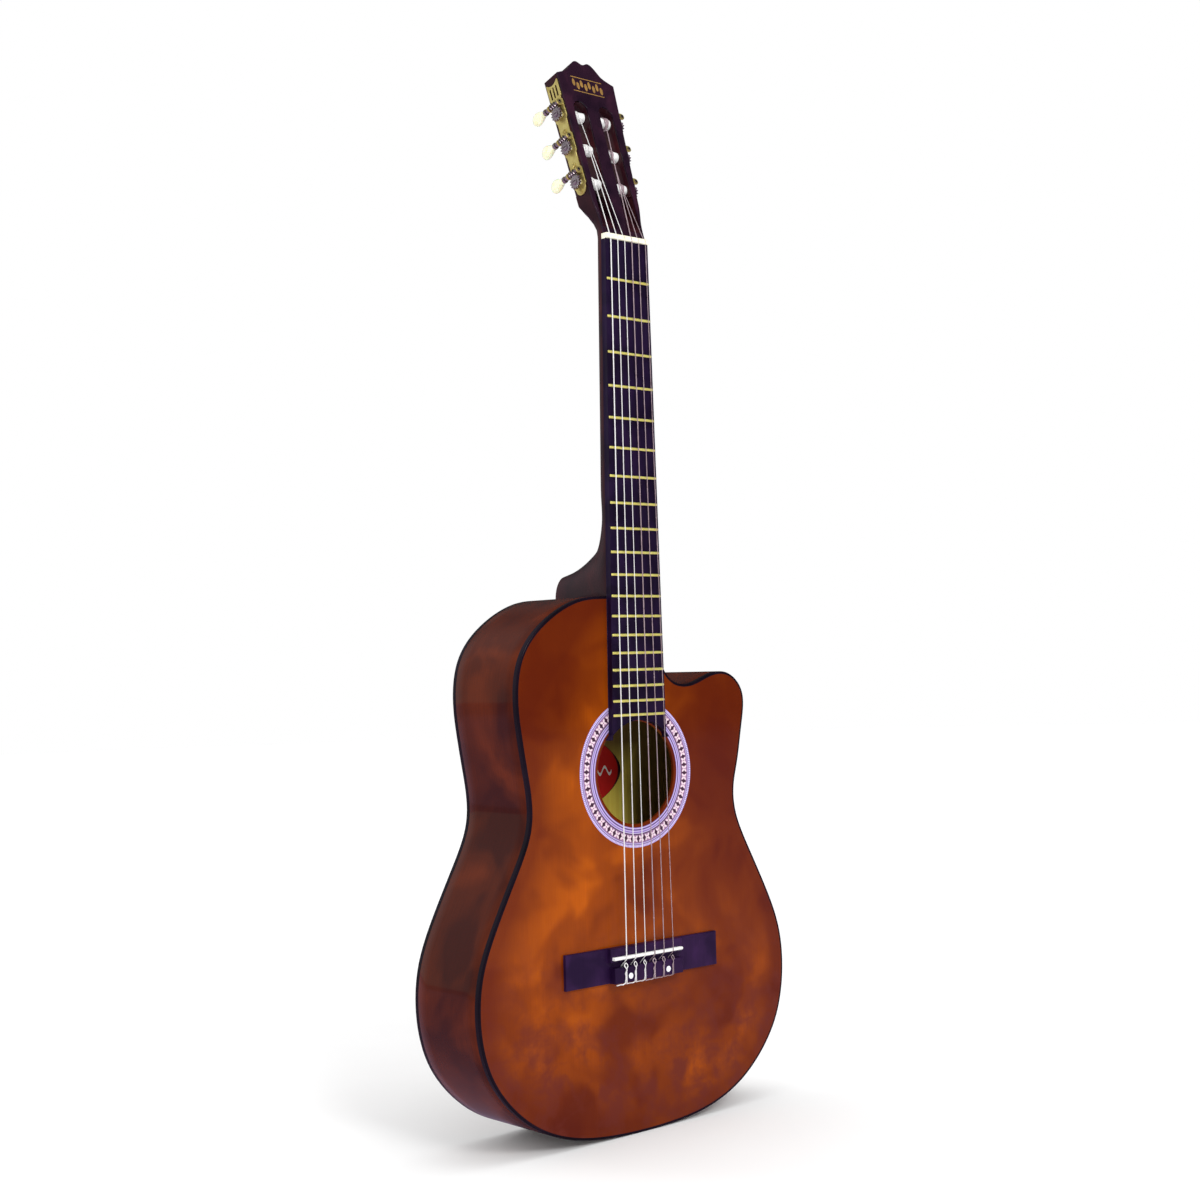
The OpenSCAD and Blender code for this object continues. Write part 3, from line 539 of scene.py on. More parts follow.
def makeCamera():
    # camera axes from yaw about Z, pitch above the horizon and roll about the line of sight
    y, p, r = view["yaw"], view["pitch"], view["roll"]
    forward = np.array([math.sin(y) * math.cos(p), math.cos(y) * math.cos(p), math.sin(p)])
    right = np.array([math.cos(y), -math.sin(y), 0])
    up = np.cross(right, forward)
    camX, camY = right * math.cos(r) + up * math.sin(r), -right * math.sin(r) + up * math.cos(r)
    data = bpy.data.cameras.new("studioCamera")
    data.lens, data.sensor_width, data.shift_y = view["lens"], 36.0, view["shiftY"]
    data.clip_start, data.clip_end = 0.05, 60.0
    cam = bpy.data.objects.new("studioCamera", data)
    bpy.context.scene.collection.objects.link(cam)
    cam.matrix_world = Matrix(facing(view["place"], camX, camY, -forward).tolist())
    bpy.context.scene.camera = cam


def areaLight(name, place, target, size, power, mirrored):
    # a soft box; one that isn't mirrored lights the object but stays out of its reflections
    data = bpy.data.lights.new(name, "AREA")
    data.shape, data.size, data.size_y, data.energy = "RECTANGLE", size[0], size[1], power
    lamp = bpy.data.objects.new(name, data)
    bpy.context.scene.collection.objects.link(lamp)
    lamp.location = place
    lamp.rotation_euler = (Vector(target) - Vector(place)).to_track_quat("-Z", "Y").to_euler()
    lamp.visible_glossy = mirrored


lights = dict(key=((-0.55, -2.6, 2.1), (0, 0, 0.45), (0.9, 0.9), 34.0, True),
              top=((0.3, -0.6, 2.9), (0, 0, 0.6), (1.6, 1.6), 14.0, False),
              back=((-1.4, 2.2, 1.4), (0, 0, 0.5), (1.6, 1.6), 18.0, False))
makeCamera()
for label, settings in lights.items():
    areaLight(label + "Light", *settings)

# the room: white to the eye and as soft light; in reflections bright at the back left, dark at the front right
room = dict(bright=(-0.85, 0.45, 0.28), soft=0.92, mirrorDark=0.02, mirrorMid=0.10, mirrorBright=0.5)
world = bpy.data.worlds.new("studioRoom")
world.use_nodes = True
bpy.context.scene.world = world
world.cycles.sampling_method = "NONE"
tree = world.node_tree
tree.nodes.clear()
way = node(tree, "ShaderNodeVectorMath", {0: node(tree, "ShaderNodeTexCoord").outputs["Generated"],
                                          1: room["bright"]}, operation="DOT_PRODUCT").outputs["Value"]
grey = lambda k: (k, k, k * 1.04)
glowStops = [(0.0, "mirrorDark"), (0.35, "mirrorDark"), (0.6, "mirrorMid"), (0.9, "mirrorBright")]
glow = ramp(scaled(way, 0.5, 0.5), [(k, grey(room[label])) for k, label in glowStops], smooth=True)
path = node(tree, "ShaderNodeLightPath").outputs
mirror = node(tree, "ShaderNodeBackground", {"Color": glow, "Strength": 1.0}).outputs[0]
soft = node(tree, "ShaderNodeBackground", {"Color": (1, 1, 1, 1), "Strength": room["soft"]}).outputs[0]
seen = node(tree, "ShaderNodeBackground", {"Color": (1, 1, 1, 1), "Strength": 1.0}).outputs[0]
lit = node(tree, "ShaderNodeMixShader", {0: path["Is Glossy Ray"], 1: soft, 2: mirror}).outputs[0]
tree.links.new(node(tree, "ShaderNodeMixShader", {0: path["Is Camera Ray"], 1: lit, 2: seen}).outputs[0],
               node(tree, "ShaderNodeOutputWorld").inputs["Surface"])
bpy.context.scene.view_settings.view_transform = "Standard"

# floor: a pale round sheet, its radius growing from ring to ring
floorLook = dict(radius=9.0, rings=12, sides=64, colour=(0.93, 0.93, 0.93), mirror=(0.34, 0.24, 0.36),
                 level=-0.2 * mm, horizon=6.0)
a = np.linspace(0, 2 * np.pi, floorLook["sides"], endpoint=False)
r = floorLook["radius"] * (np.linspace(0.02, 1, floorLook["rings"]) ** 2)
rings = np.stack([r[:, None] * np.cos(a), r[:, None] * np.sin(a), np.full((len(r), len(a)),
    floorLook["level"])], 2)
part = gridPart(rings[::-1], capped=False)
mesh = bpy.data.meshes.new("paleFloor")
innerRing = (len(r) - 1) * len(a)
middle = [[len(part["v"]), innerRing + k, innerRing + (k + 1) % len(a)] for k in range(len(a))]
mesh.from_pydata(part["v"].tolist() + [(0, 0, floorLook["level"])], [], part["f"][0].tolist() + middle)
floor = bpy.data.objects.new("paleFloor", mesh)
bpy.context.scene.collection.objects.link(floor)
floorFinish, tree, bsdf = newFinish("paleSheet", Roughness=0.85, Emission_Strength=1.0)
spot = objectVector(tree)
mottle = noise(spot, 3.0, Detail=4.0)
paper = ramp(mottle, [(0.3, (0.90, 0.90, 0.90)), (0.7, floorLook["colour"])])
mirrored = node(tree, "ShaderNodeLightPath").outputs["Is Glossy Ray"]
feed(bsdf, "Base Color", mixed(mirrored, paper, floorLook["mirror"]))
# painted light: the floor glows, more the farther it lies from the middle, in all but mirrored rays
far0 = node(tree, "ShaderNodeVectorMath", {0: spot}, operation="LENGTH").outputs["Value"]
floorGlow = ramp(maths("DIVIDE", far0, floorLook["horizon"]), [(0.08, (0.02, 0.02, 0.02)),
    (0.5, (0.26, 0.26, 0.26))], smooth=True)
feed(bsdf, "Emission Color", mixed(mirrored, floorGlow, (0.0, 0.0, 0.0)))
floor.data.materials.append(floorFinish)
print("camera, lights and floor ready")


# ---- body ----

body = dict(front=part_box("soundboard")[0].y, back=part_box("back")[1].y, plate=3 * mm, rib=2.5 * mm,
            bindingHeight=5 * mm,
            length=487 * mm, samples=640, holeRadius=47 * mm, holeZ=326 * mm, edgeRound=1.2 * mm)
trebleUpper = [[28, 487], [28, 455], [32, 428], [47, 405], [74, 404], [94, 414], [122, 419], [147, 397],
               [139, 364], [133, 329]]
lowerHalf = [[125, 308], [126, 279], [146, 243], [166, 207], [185, 168], [189, 129], [184, 94], [170, 62],
             [134, 26], [89, 7], [45, 1]]
bassUpper = [[-131, 339], [-135, 363], [-140, 396], [-135, 436], [-106, 466], [-65, 487], [-30, 487]]
outlineControls = trebleUpper + lowerHalf + [[0, -0.5]] + [[-x, z] for x, z in lowerHalf[::-1]] + bassUpper

side = evenly(spline(outlineControls, 24), body["samples"]) * mm
across = np.stack([np.linspace(side[-1, 0], side[0, 0], 18), np.full(18, body["length"])], 1)[1:-1]
outline = np.vstack([side, across])
heading = np.gradient(side, axis=0)
heading = heading / np.sqrt((heading ** 2).sum(1))[:, None]
inward = np.vstack([np.stack([heading[:, 1], -heading[:, 0]], 1), np.tile([0.0, -1.0], (len(across), 1))])
outlineLength = np.concatenate([[0],
                                np.cumsum(np.sqrt((np.diff(np.vstack([outline, outline[:1]]),
                                axis=0) ** 2).sum(1)))])


def inset(t):
    # the outline moved inwards by t, kept t below the neck joint and inside its corner
    p = outline + t * inward
    p[:, 1] = np.minimum(p[:, 1], body["length"] - t)
    p[len(side):, 0] = np.minimum(p[len(side):, 0], side[0, 0] - t)
    return p


def shellPart(profile, rows=None, wrap=True):
    # a closed profile of (inset, depth) carried round the outline, or along some of its rows
    rings = np.stack([np.insert(inset(t), 1, y, axis=1) for t, y in profile], 1)
    length = outlineLength
    if rows is not None:
        rings, length = rings[rows], outlineLength[np.append(rows, rows[-1])]
    p = np.array(profile)
    around = np.concatenate([[0], np.cumsum(np.sqrt((np.diff(np.vstack([p, p[:1]]), axis=0) ** 2).sum(1)))])
    return gridPart(rings, wrapU=wrap, uv=(length, around))


def arc(cx, cy, r, start, stop, count):
    # points of an arc, angles in degrees
    a = np.radians(np.linspace(start, stop, count))
    return np.stack([cx + r * np.cos(a), cy + r * np.sin(a)], 1).tolist()


front, back, rim = body["front"], body["back"], body["edgeRound"]
low, high = front + body["bindingHeight"], back - body["bindingHeight"]
frontStrip = arc(rim, front + rim, rim, 180, 270, 7) + [[body["rib"], front], [body["rib"], low], [0, low]]
backStrip = [[0, high], [body["rib"], high], [body["rib"], back]] + arc(rim, back - rim, rim, 90, 180, 7)
makePiece("frontBinding", [shellPart(frontStrip)], [bindingFinish], "guitar", ["bindings"])
makePiece("backBinding", [shellPart(backStrip)], [bindingFinish], "guitar", ["bindings"])

# ribs: each side a thin curved wall from the neck joint to the tail, its outer face eased in a little at top
# and bottom
tailRow = int(np.argmin(outline[:len(side), 1] + np.abs(outline[:len(side), 0])))
rowsTreble, rowsBass = np.arange(0, tailRow + 1), np.arange(tailRow, len(outline))
levels = np.linspace(low + 0.2 * mm, high - 0.2 * mm, 8)
wall = [[0.12 * mm, low]] + [[0.0, y] for y in levels] + [[0.12 * mm, high], [body["rib"], high],
    [body["rib"], low]]
for label, rows, node0 in (("treble", rowsTreble, "treble_rib"), ("bass", np.append(rowsBass, 0),
        "bass_rib")):
    makePiece(label + "Rib", [shellPart(wall, rows, wrap=False)], [ribFinish], "guitar", [node0])


def nearEdge(points, reach):
    # 1 at the outline falling smoothly to 0 at the given distance inside it
    p = points[:, [0, 2]]
    d = np.concatenate([np.sqrt(((p[k:k + 4000, None] - outline[None,
        ::4]) ** 2).sum(2)).min(1) for k in range(0, len(p), 4000)])
    return np.clip(1 - d / reach, 0, 1) ** 1.6


def soundboardPart():
    # straight lines fan out from the sound hole to the edge; the hole's lip is a quarter round
    rimLine = inset(body["rib"])
    centre = np.array([0, body["holeZ"]])
    toEdge = rimLine - centre
    far = np.sqrt((toEdge ** 2).sum(1))[:, None]
    unit = toEdge / far
    lip = 0.6 * mm
    top = [(body["holeRadius"] + x, front + y) for x, y in np.array(arc(lip, lip, lip, 180, 270, 6))]
    share = np.linspace(0, 1, 30)[1:] ** 0.9
    levels = []
    for r, y in top:
        levels.append((np.full_like(far, r), y))
    start = body["holeRadius"] + lip
    for s in share:
        levels.append((start + (far - start) * s, front))
    levels.append((far, front + body["plate"]))
    levels.append((np.full_like(far, body["holeRadius"]), front + body["plate"]))
    rings = np.stack([np.insert(centre + unit * r, 1, y, axis=1) for r, y in levels], 1)
    return gridPart(rings, wrapU=True)


part = soundboardPart()
holeDistance = np.sqrt(part["v"][:, 0] ** 2 + (part["v"][:, 2] - body["holeZ"]) ** 2) - body["holeRadius"]
makePiece("soundboardPlate", [part], [soundboardFinish], "guitar", ["soundboard"],
          fields={"edge": np.maximum(nearEdge(part["v"], 90 * mm), holeDistance < 1 * mm)})


def backPart():
    # two flat faces of rings that shrink straight towards a point, joined at the edge
    rimLine = inset(body["rib"])
    centre = np.array([0, body["holeZ"]])
    share = np.linspace(0.004, 1, 26)
    inner = [np.insert(centre + (rimLine - centre) * s, 1, back - body["plate"], axis=1) for s in share]
    outer = [np.insert(centre + (rimLine - centre) * s, 1, back, axis=1) for s in share[::-1]]
    return gridPart(np.stack(inner + outer, 0))


part = backPart()
inside = [(part["v"][f][:, :, 1].mean(1) < back - 0.6 * body["plate"]) for f in part["f"]]
backPiece = makePiece("backPlate", [part], [backFinish, innerFinish], "guitar", ["back"],
                      fields={"edge": nearEdge(part["v"], 75 * mm)})
backPiece.data.polygons.foreach_set("material_index", np.concatenate(inside).astype(int))
for name in ("linings", "soundboard_braces", "back_braces", "neck_block", "tail_block"):
    for k in range(len(cadNodes[name].material_slots)):
        cadNodes[name].material_slots[k].material = innerFinish
print("body ready")


# ---- rosette, label and bridge ----

rosette = dict(inner=50 * mm, outer=68.4 * mm, proud=0.06 * mm, petals=50)


def discPart(inner, outer, y0, y1, sides=192):
    # a flat ring about the sound hole's axis: its small cross-section turned round that axis
    e = 0.04 * mm
    p = [(inner, y1), (inner, y0 + e), (inner + e, y0), (outer - e, y0), (outer, y0 + e), (outer, y1)]
    a = np.linspace(0, 2 * np.pi, sides, endpoint=False)
    g = np.array([[(r * math.sin(t), y, body["holeZ"] + r * math.cos(t)) for r, y in p] for t in a])
    return gridPart(g, wrapU=True)


# rosette pattern: radius picks the ring's colour, angle repeats the flowers of the middle band
rosetteFinish, tree, bsdf = newFinish("rosetteInlay", IOR=1.4)
v = parted(objectVector(tree))
dz = minus(v["Z"], body["holeZ"])
radius = maths("SQRT", maths("ADD", times(v["X"], v["X"]), times(dz, dz)))
span = rosette["outer"] - rosette["inner"]
place = maths("DIVIDE", minus(radius, rosette["inner"]), span)
angle = times(maths("ARCTAN2", v["X"], dz), rosette["petals"] / (2 * math.pi))
white, lilac, mauve, plum = (0.76, 0.66, 0.92), (0.30, 0.20, 0.56), (0.16, 0.07, 0.19), (0.035, 0.012, 0.05)
rings = ramp(place, [(0.0, plum), (0.025, lilac), (0.06, white), (0.09, lilac), (0.13, plum), (0.16, lilac),
                     (0.19, white), (0.22, lilac), (0.27, lilac), (0.30, white), (0.33, plum), (0.38, mauve)])
outerRings = ramp(place, [(0.76, mauve), (0.79, lilac), (0.82, white), (0.845, plum), (0.87, lilac),
                          (0.89, white), (0.98, white), (1.0, lilac)])
# flower: four petals where the radius is under a cosine of four times the angle, dark wedges between flowers
across0 = minus(maths("FRACT", angle), 0.5)
up0 = times(minus(place, 0.565), 2.45)
far0 = lengthOf(across0, up0)
turn0 = times(maths("ARCTAN2", across0, up0), 4.0)
petal = scaled(maths("COSINE", turn0), -0.17, 0.33)
wedge = maths("GREATER_THAN", maths("ABSOLUTE", across0), scaled(maths("ABSOLUTE", up0), 0.55, 0.24))
band = mixed(wedge, (0.36, 0.20, 0.34), (0.06, 0.025, 0.045))
band = mixed(maths("GREATER_THAN", petal, far0), band, (0.88, 0.70, 0.78))
band = mixed(maths("LESS_THAN", far0, 0.08), band, (0.25, 0.10, 0.18))
isOuter = maths("GREATER_THAN", place, 0.76)
isInner = maths("LESS_THAN", place, 0.38)
ticks = maths("GREATER_THAN", maths("SINE", times(angle, 5 * 2 * math.pi)), 0.25)
outerRings = mixed(times(ticks, maths("GREATER_THAN", place, 0.88)), outerRings, lilac)
pattern = mixed(isOuter, mixed(isInner, band, rings), outerRings)
speck = noise(objectVector(tree), 900.0)
feed(bsdf, "Base Color", mixed(times(speck, 0.25), pattern, plum))
skin = useGroup(lacquerTree, objectVector(tree), Roughness=0.12, Haze=0.1)
feed(bsdf, "Roughness", skin["Roughness"])
makePiece("rosetteRing", [discPart(rosette["inner"], rosette["outer"], front - rosette["proud"],
                                   front + 0.5 * mm)],
          [rosetteFinish], "guitar", ["rosette"])

# label: an oval sheet on the inside of the back, dark edge, plain ornament and no words
label = dict(halfLong=60 * mm, halfTall=32 * mm, z=323 * mm, thick=0.5 * mm)
labelFinish, tree, bsdf = newFinish("redLabelPaper", Roughness=0.55)
v = parted(objectVector(tree))
lx = maths("DIVIDE", v["X"], label["halfLong"])
lz = maths("DIVIDE", minus(v["Z"], label["z"]), 36 * mm)
out = lengthOf(lx, lz)
paper = ramp(out, [(0.0, (0.62, 0.010, 0.008)), (0.93, (0.60, 0.008, 0.006)), (0.945, (0.03, 0.008, 0.008)),
                   (1.0, (0.03, 0.008, 0.008))])
wave = times(maths("SINE", times(v["X"], 520.0)), 3.6 * mm)
line = maths("ABSOLUTE", minus(minus(v["Z"], label["z"]), wave))
stroke = times(maths("LESS_THAN", line, 1.5 * mm), maths("LESS_THAN", maths("ABSOLUTE", v["X"]), 48 * mm))
feed(bsdf, "Base Color", mixed(stroke, paper, (0.85, 0.80, 0.76)))
fuzz = noise(objectVector(tree), 1500.0)
feed(bsdf, "Roughness", scaled(fuzz, 0.2, 0.45))
a = np.linspace(0, 2 * np.pi, 96, endpoint=False)
rim0 = np.stack([label["halfLong"] * np.cos(a), (label["halfTall"] - 4 * mm * np.cos(2 * a)) * np.sin(a)], 1)
levels = [(0.01, 0), (0.3, 0), (0.6, 0), (0.9, 0), (1, 0.1 * mm), (1, label["thick"])]
g = [np.stack([rim0[:, 0] * s, np.full(len(a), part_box("label")[0].y + dy), label["z"] + rim0[:, 1] * s],
              1) for s, dy in levels]
makePiece("labelSheet", [gridPart(np.array(g))], [labelFinish], "guitar", ["label"])


# bridge: a height field, each block rising straight at its edge and turning over a round lip
bridge = dict(halfWide=93 * mm, foot=139.8 * mm, top=171.2 * mm, wing=3.5 * mm, blockHalf=44 * mm,
              blockFoot=158.5 * mm, block=8 * mm,
              tieHalf=42 * mm, tieTop=153.8 * mm, tie=11 * mm, lip=0.8 * mm)


def lipped(d, height, lip):
    # 0 outside, then height - lip + the quarter circle of the lip, then flat
    k = np.clip(d / lip, 0, 1)
    return np.where(d < 0, 0, height - lip + lip * np.sqrt(np.clip(1 - (1 - k) ** 2, 0, 1)))


def lineUp(stops, lip, step):
    # grid lines bunched at each edge so that its wall and lip come out clean
    near = np.array([-0.02, 0.0, 0.05, 0.16, 0.33, 0.6, 1.0]) * lip
    lines = [s + d for s in stops for d in np.concatenate([near, -near])]
    return np.unique(np.round(np.concatenate([lines, np.arange(min(stops), max(stops), step)]), 8))


def bridgePart():
    b = bridge
    x = lineUp([-b["halfWide"], -b["blockHalf"], -b["tieHalf"], b["tieHalf"], b["blockHalf"], b["halfWide"]],
               b["lip"], 3 * mm)
    z = lineUp([b["foot"], b["tieTop"], b["blockFoot"], b["top"]], b["lip"], 1.5 * mm)
    x, z = x[np.abs(x) <= b["halfWide"] + 1e-9], z[(z >= b["foot"] - 1e-9) & (z <= b["top"] + 1e-9)]
    gx, gz = np.meshgrid(x, z, indexing="ij")
    inFrom = lambda half, z0, z1: np.minimum(half - np.abs(gx), np.minimum(gz - z0, z1 - gz))
    slab = lipped(inFrom(b["halfWide"], b["foot"], b["top"]), b["wing"], b["lip"])
    block = lipped(inFrom(b["blockHalf"], b["blockFoot"], b["top"]), b["block"], b["lip"])
    tie = lipped(inFrom(b["tieHalf"], b["foot"], b["tieTop"]), b["tie"], b["lip"])
    h = np.maximum(slab, np.maximum(block, tie))
    lid = np.stack([gx, front - h, gz], 2)
    under = np.stack([gx, np.full_like(gx, front + 0.05 * mm), gz], 2)
    ring = np.concatenate([under[:, :1], lid, under[:, -1:]], 1)
    ends = [np.stack([ring[e, :, 0], np.full(ring.shape[1], front + 0.05 * mm), ring[e, :, 2]],
                     1)[None] for e in (0, -1)]
    return gridPart(np.concatenate([ends[0], ring, ends[1]], 0))


makePiece("bridgeBody", [bridgePart()], [bridgeFinish], "guitar", ["bridge"])

saddle = dict(half=42.6 * mm, thick=3 * mm, top=front - 11.5 * mm, z=162 * mm)


def saddlePart():
    # a bar whose section is a slab with a half-round crown; the section shrinks over the last bit at each end
    s = saddle
    crown = arc(0, s["thick"] / 2, s["thick"] / 2 - 0.02 * mm, 180, 360, 13)
    section = np.array([[-s["thick"] / 2 + 0.02 * mm,
                         front - s["top"] - 3 * mm]] + crown + [[s["thick"] / 2 - 0.02 * mm,
                         front - s["top"] - 3 * mm]])
    ease = np.array([0.55, 0.82, 0.96, 1.0])
    steps = np.array([0, 0.15, 0.5, 1.1]) * mm
    xs = np.concatenate([-s["half"] + steps, s["half"] - steps[::-1]])
    ks = np.concatenate([ease, ease[::-1]])
    mid = np.array([0, section[:, 1].max()])
    g = [np.stack([np.full(len(section), x), s["top"] + (mid + (section - mid) * k)[:, 1],
                   s["z"] + ((section - mid) * k)[:, 0]], 1) for x, k in zip(xs, ks)]
    return gridPart(np.array(g))


makePiece("saddleBar", [saddlePart()], [saddleFinish], "guitar", ["saddle"])

dots = dict(radius=2.8 * mm, z=145.3 * mm, x=23.2 * mm, dome=0.25 * mm)
dome = [(0, -dots["dome"])] + [(dots["radius"] * t, -dots["dome"] * (1 - t * t)) for t in (0.2, 0.5, 0.8,
    0.97)] + [(dots["radius"], 0.3 * mm)]
dotParts = [moved(lathePart(dome, 40), facing((s * dots["x"], front - bridge["tie"], dots["z"]), (1, 0, 0),
    (0, 0, -1), (0, 1, 0))) for s in (-1, 1)]
makePiece("pearlDots", dotParts, [pearlFinish], "guitar", ["bridge_dots"])
print("rosette, label and bridge ready")


# ---- neck, fretboard and nut ----

neck = dict(nutZ=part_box("nut")[0].z, nutWide=51 * mm, jointWide=61 * mm, scale=650 * mm, boardThick=6 * mm,
            frets=19,
            boardEnd=455 * mm, tilt=math.radians(17), headY=front - 4.5 * mm,
            headZ=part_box("nut")[0].z + 2 * mm)


def fretAt(n):
    return neck["scale"] * (1 - 2.0 ** (-np.asarray(n, float) / 12))


def halfWidth(s):
    return (neck["nutWide"] + (neck["jointWide"] - neck["nutWide"]) * s / (neck["scale"] / 2)) / 2


ct, st = math.cos(neck["tilt"]), math.sin(neck["tilt"])
# head coordinates: x across, n in from the face, u up along it
headMatrix = facing((0, neck["headY"], neck["headZ"]), (1, 0, 0), (0, ct, -st), (0, st, ct))
# the same for flat sheets: x, u, then n
faceMatrix = facing((0, neck["headY"], neck["headZ"]), (1, 0, 0), (0, st, ct), (0, ct, -st))


def headYZ(n, u):
    return [neck["headY"] + n * ct + u * st, neck["headZ"] - n * st + u * ct]


def neckRows():
    # each row: front edge y, z; back edge y, z; half width; squareness
    rows = [headYZ(2 * mm, 12 * mm) + headYZ(17.6 * mm, 12 * mm) + [25.3 * mm, 2.5],
            headYZ(2 * mm, 4.2 * mm) + [front + 15.9 * mm, neck["nutZ"] + 2 * mm, 25.4 * mm, 2.4],
            [front, neck["nutZ"] + 5.1 * mm, front + 15.6 * mm, neck["nutZ"] - 6 * mm, 25.4 * mm, 2.3]]
    for s in (20, 40, 90, 140, 190, 230):
        z = neck["nutZ"] - s * mm
        rows.append([front, z, front + (15.5 + 2.5 * s / 230) * mm, z, halfWidth(s * mm), 2.3])
    heel = [[250, 19, 262, 0], [261, 22.5, 280, 0], [271, 28, 300, 0], [280, 37, 325, 2], [287, 48, 325, 18],
            [293, 60, 325, 38], [298, 74, 325, 62]]
    for sb, yb, sf, yf in heel:
        rows.append([front + yf * mm, neck["nutZ"] - sf * mm, front + yb * mm, neck["nutZ"] - sb * mm,
                     halfWidth(sf * mm) - 0.5 * mm - 0.18 * yf * mm, 2.1])
    rows.append([back, body["length"], back, body["length"] + 23 * mm, 14 * mm, 2.1])
    return rows


squareScale = 0.004  # brings the squareness to the size of the lengths, so it hardly moves the knots


def neckPart():
    # half superellipses: across w cos^(2/e), back share sin^(2/e), with smooth rows between the given ones
    rows = np.array(neckRows())
    rows[:, 5] *= squareScale
    rows = through(rows, 10)
    rows[:, 0] = np.maximum(rows[:, 0], np.where(rows[:, 1] < neck["nutZ"], front, -1))
    e = rows[:, 5:6] / squareScale
    t = np.linspace(0, np.pi, 57)[None]
    c, d = np.cos(t), np.sin(t)
    x = rows[:, 4:5] * np.sign(c) * np.abs(c) ** (2 / e)
    k = np.abs(d) ** (2 / e)
    y = rows[:, 0:1] + k * (rows[:, 2:3] - rows[:, 0:1])
    z = rows[:, 1:2] + k * (rows[:, 3:4] - rows[:, 1:2])
    return gridPart(np.stack([x, y, z], 2))


makePiece("neckShaft", [neckPart()], [neckFinish], "guitar", ["neck"], sharp=50)

# fretboard: its end follows the sound hole
cut = body["holeRadius"] + 1.5 * mm
zEnd = neck["nutZ"] - neck["boardEnd"]
w1, w2 = halfWidth(0.0), halfWidth(neck["boardEnd"])
startAngle = math.atan2(zEnd - body["holeZ"], math.sqrt(max(cut ** 2 - (zEnd - body["holeZ"]) ** 2, 0)))
bite = arc(0, body["holeZ"], cut, math.degrees(startAngle), 180 - math.degrees(startAngle), 40)
boardLoop = [[-w1, neck["nutZ"]], [w1, neck["nutZ"]], [w2, zEnd]] + bite + [[-w2, zEnd]]
boardMatrix = facing((0, front, 0), (1, 0, 0), (0, 0, 1), (0, -1, 0))
makePiece("fretboardSlab", [moved(flatPart([boardLoop], neck["boardThick"], 0.5 * mm), boardMatrix)],
          [fretboardFinish],
          "guitar", ["fretboard"])


def fretParts():
    # a low round crown carried across the board, its ends rounded off by shrinking the section
    a = np.linspace(np.pi, 0, 11)
    parts = []
    for n in range(1, neck["frets"] + 1):
        s = fretAt(n)
        half = halfWidth(s) - 0.4 * mm
        steps = np.array([0, 0.15, 0.5, 1.0]) * mm
        xs = np.concatenate([-half + steps, half - steps[::-1]])
        ks = np.array([0.3, 0.7, 0.94, 1, 1, 0.94, 0.7, 0.3])
        y = front - neck["boardThick"] + 0.1 * mm - 1.1 * mm * np.sin(a)[None] * ks[:, None]
        z = neck["nutZ"] - s + 1.2 * mm * np.cos(a)[None] * np.sqrt(ks)[:, None]
        parts.append(gridPart(np.stack([np.repeat(xs[:, None], len(a), 1), y, z], 2)))
    return parts


makePiece("fretWires", fretParts(), [fretFinish], "guitar", ["frets"], sharp=60)

# diameters in mm, strings 1 to 6 from the treble side
stringSizes = [0.71, 0.82, 1.03, 0.74, 0.89, 1.1]
strings = dict(radius=[d / 2 * mm for d in stringSizes], nutSpread=43 * mm, saddleSpread=58 * mm,
               nutY=front - 7.8 * mm)


def stringX(i, spread):
    return (3.5 - i) * spread / 5


def nutPart():
    # bar with a back-sloping rounded top; the top dips in a half circle under each string
    half = neck["nutWide"] / 2
    xs = [np.array([-half, -half + 0.2 * mm, -half + 0.5 * mm, half - 0.5 * mm, half - 0.2 * mm, half])]
    for i in range(1, 7):
        xs.append(stringX(i, strings["nutSpread"]) + (strings["radius"][i - 1] + 0.12 * mm)
                  * np.array([-1.15, -1, -0.92, -0.7, -0.35, 0, 0.35, 0.7, 0.92, 1, 1.15]))
    x = np.unique(np.round(np.concatenate(xs + [np.linspace(-half, half, 40)]), 8))
    top = front - 8.8 * mm
    z = np.array([0, 0, 0.12, 0.4, 1.2, 2.2, 3.2, 4.2, 4.8, 5, 5]) * mm
    y = top + np.array([0, 0.45, 0.13, 0.0, 0.07, 0.44, 0.8, 1.16, 1.45, 1.75, 0]) * mm
    y[0], y[-1] = front, front
    g = np.stack([np.repeat(x[:, None], len(z), 1), np.repeat(y[None], len(x), 0),
                  neck["nutZ"] + np.repeat(z[None], len(x), 0)], 2)
    for i in range(1, 7):
        r = strings["radius"][i - 1] + 0.1 * mm
        d = (x - stringX(i, strings["nutSpread"])) / r
        floorY = strings["nutY"] - strings["radius"][i - 1] + np.sqrt(np.clip(1 - d ** 2, 0, 1)) * r
        dip = np.maximum(0, np.where(np.abs(d) < 1, floorY - top, 0))[:, None] * np.ones(len(z))[None]
        dip[:, 0] = dip[:, -1] = 0
        g[:, :, 1] = np.where(np.abs(d)[:, None] < 1, np.maximum(g[:, :, 1],
            np.where(dip > 0, top + dip + (z * 0.35)[None], -1)), g[:, :, 1])
    ease = np.clip((half - np.abs(x)) / (0.5 * mm), 0, 1)
    g[:, 1:-1, 1] += ((1 - np.sqrt(np.clip(1 - (1 - ease) ** 2, 0, 1))) * 0.5 * mm)[:, None]
    return gridPart(g)


makePiece("nutBar", [nutPart()], [boneFinish], "guitar", ["nut"])
print("neck and fretboard ready")


# ---- head ----

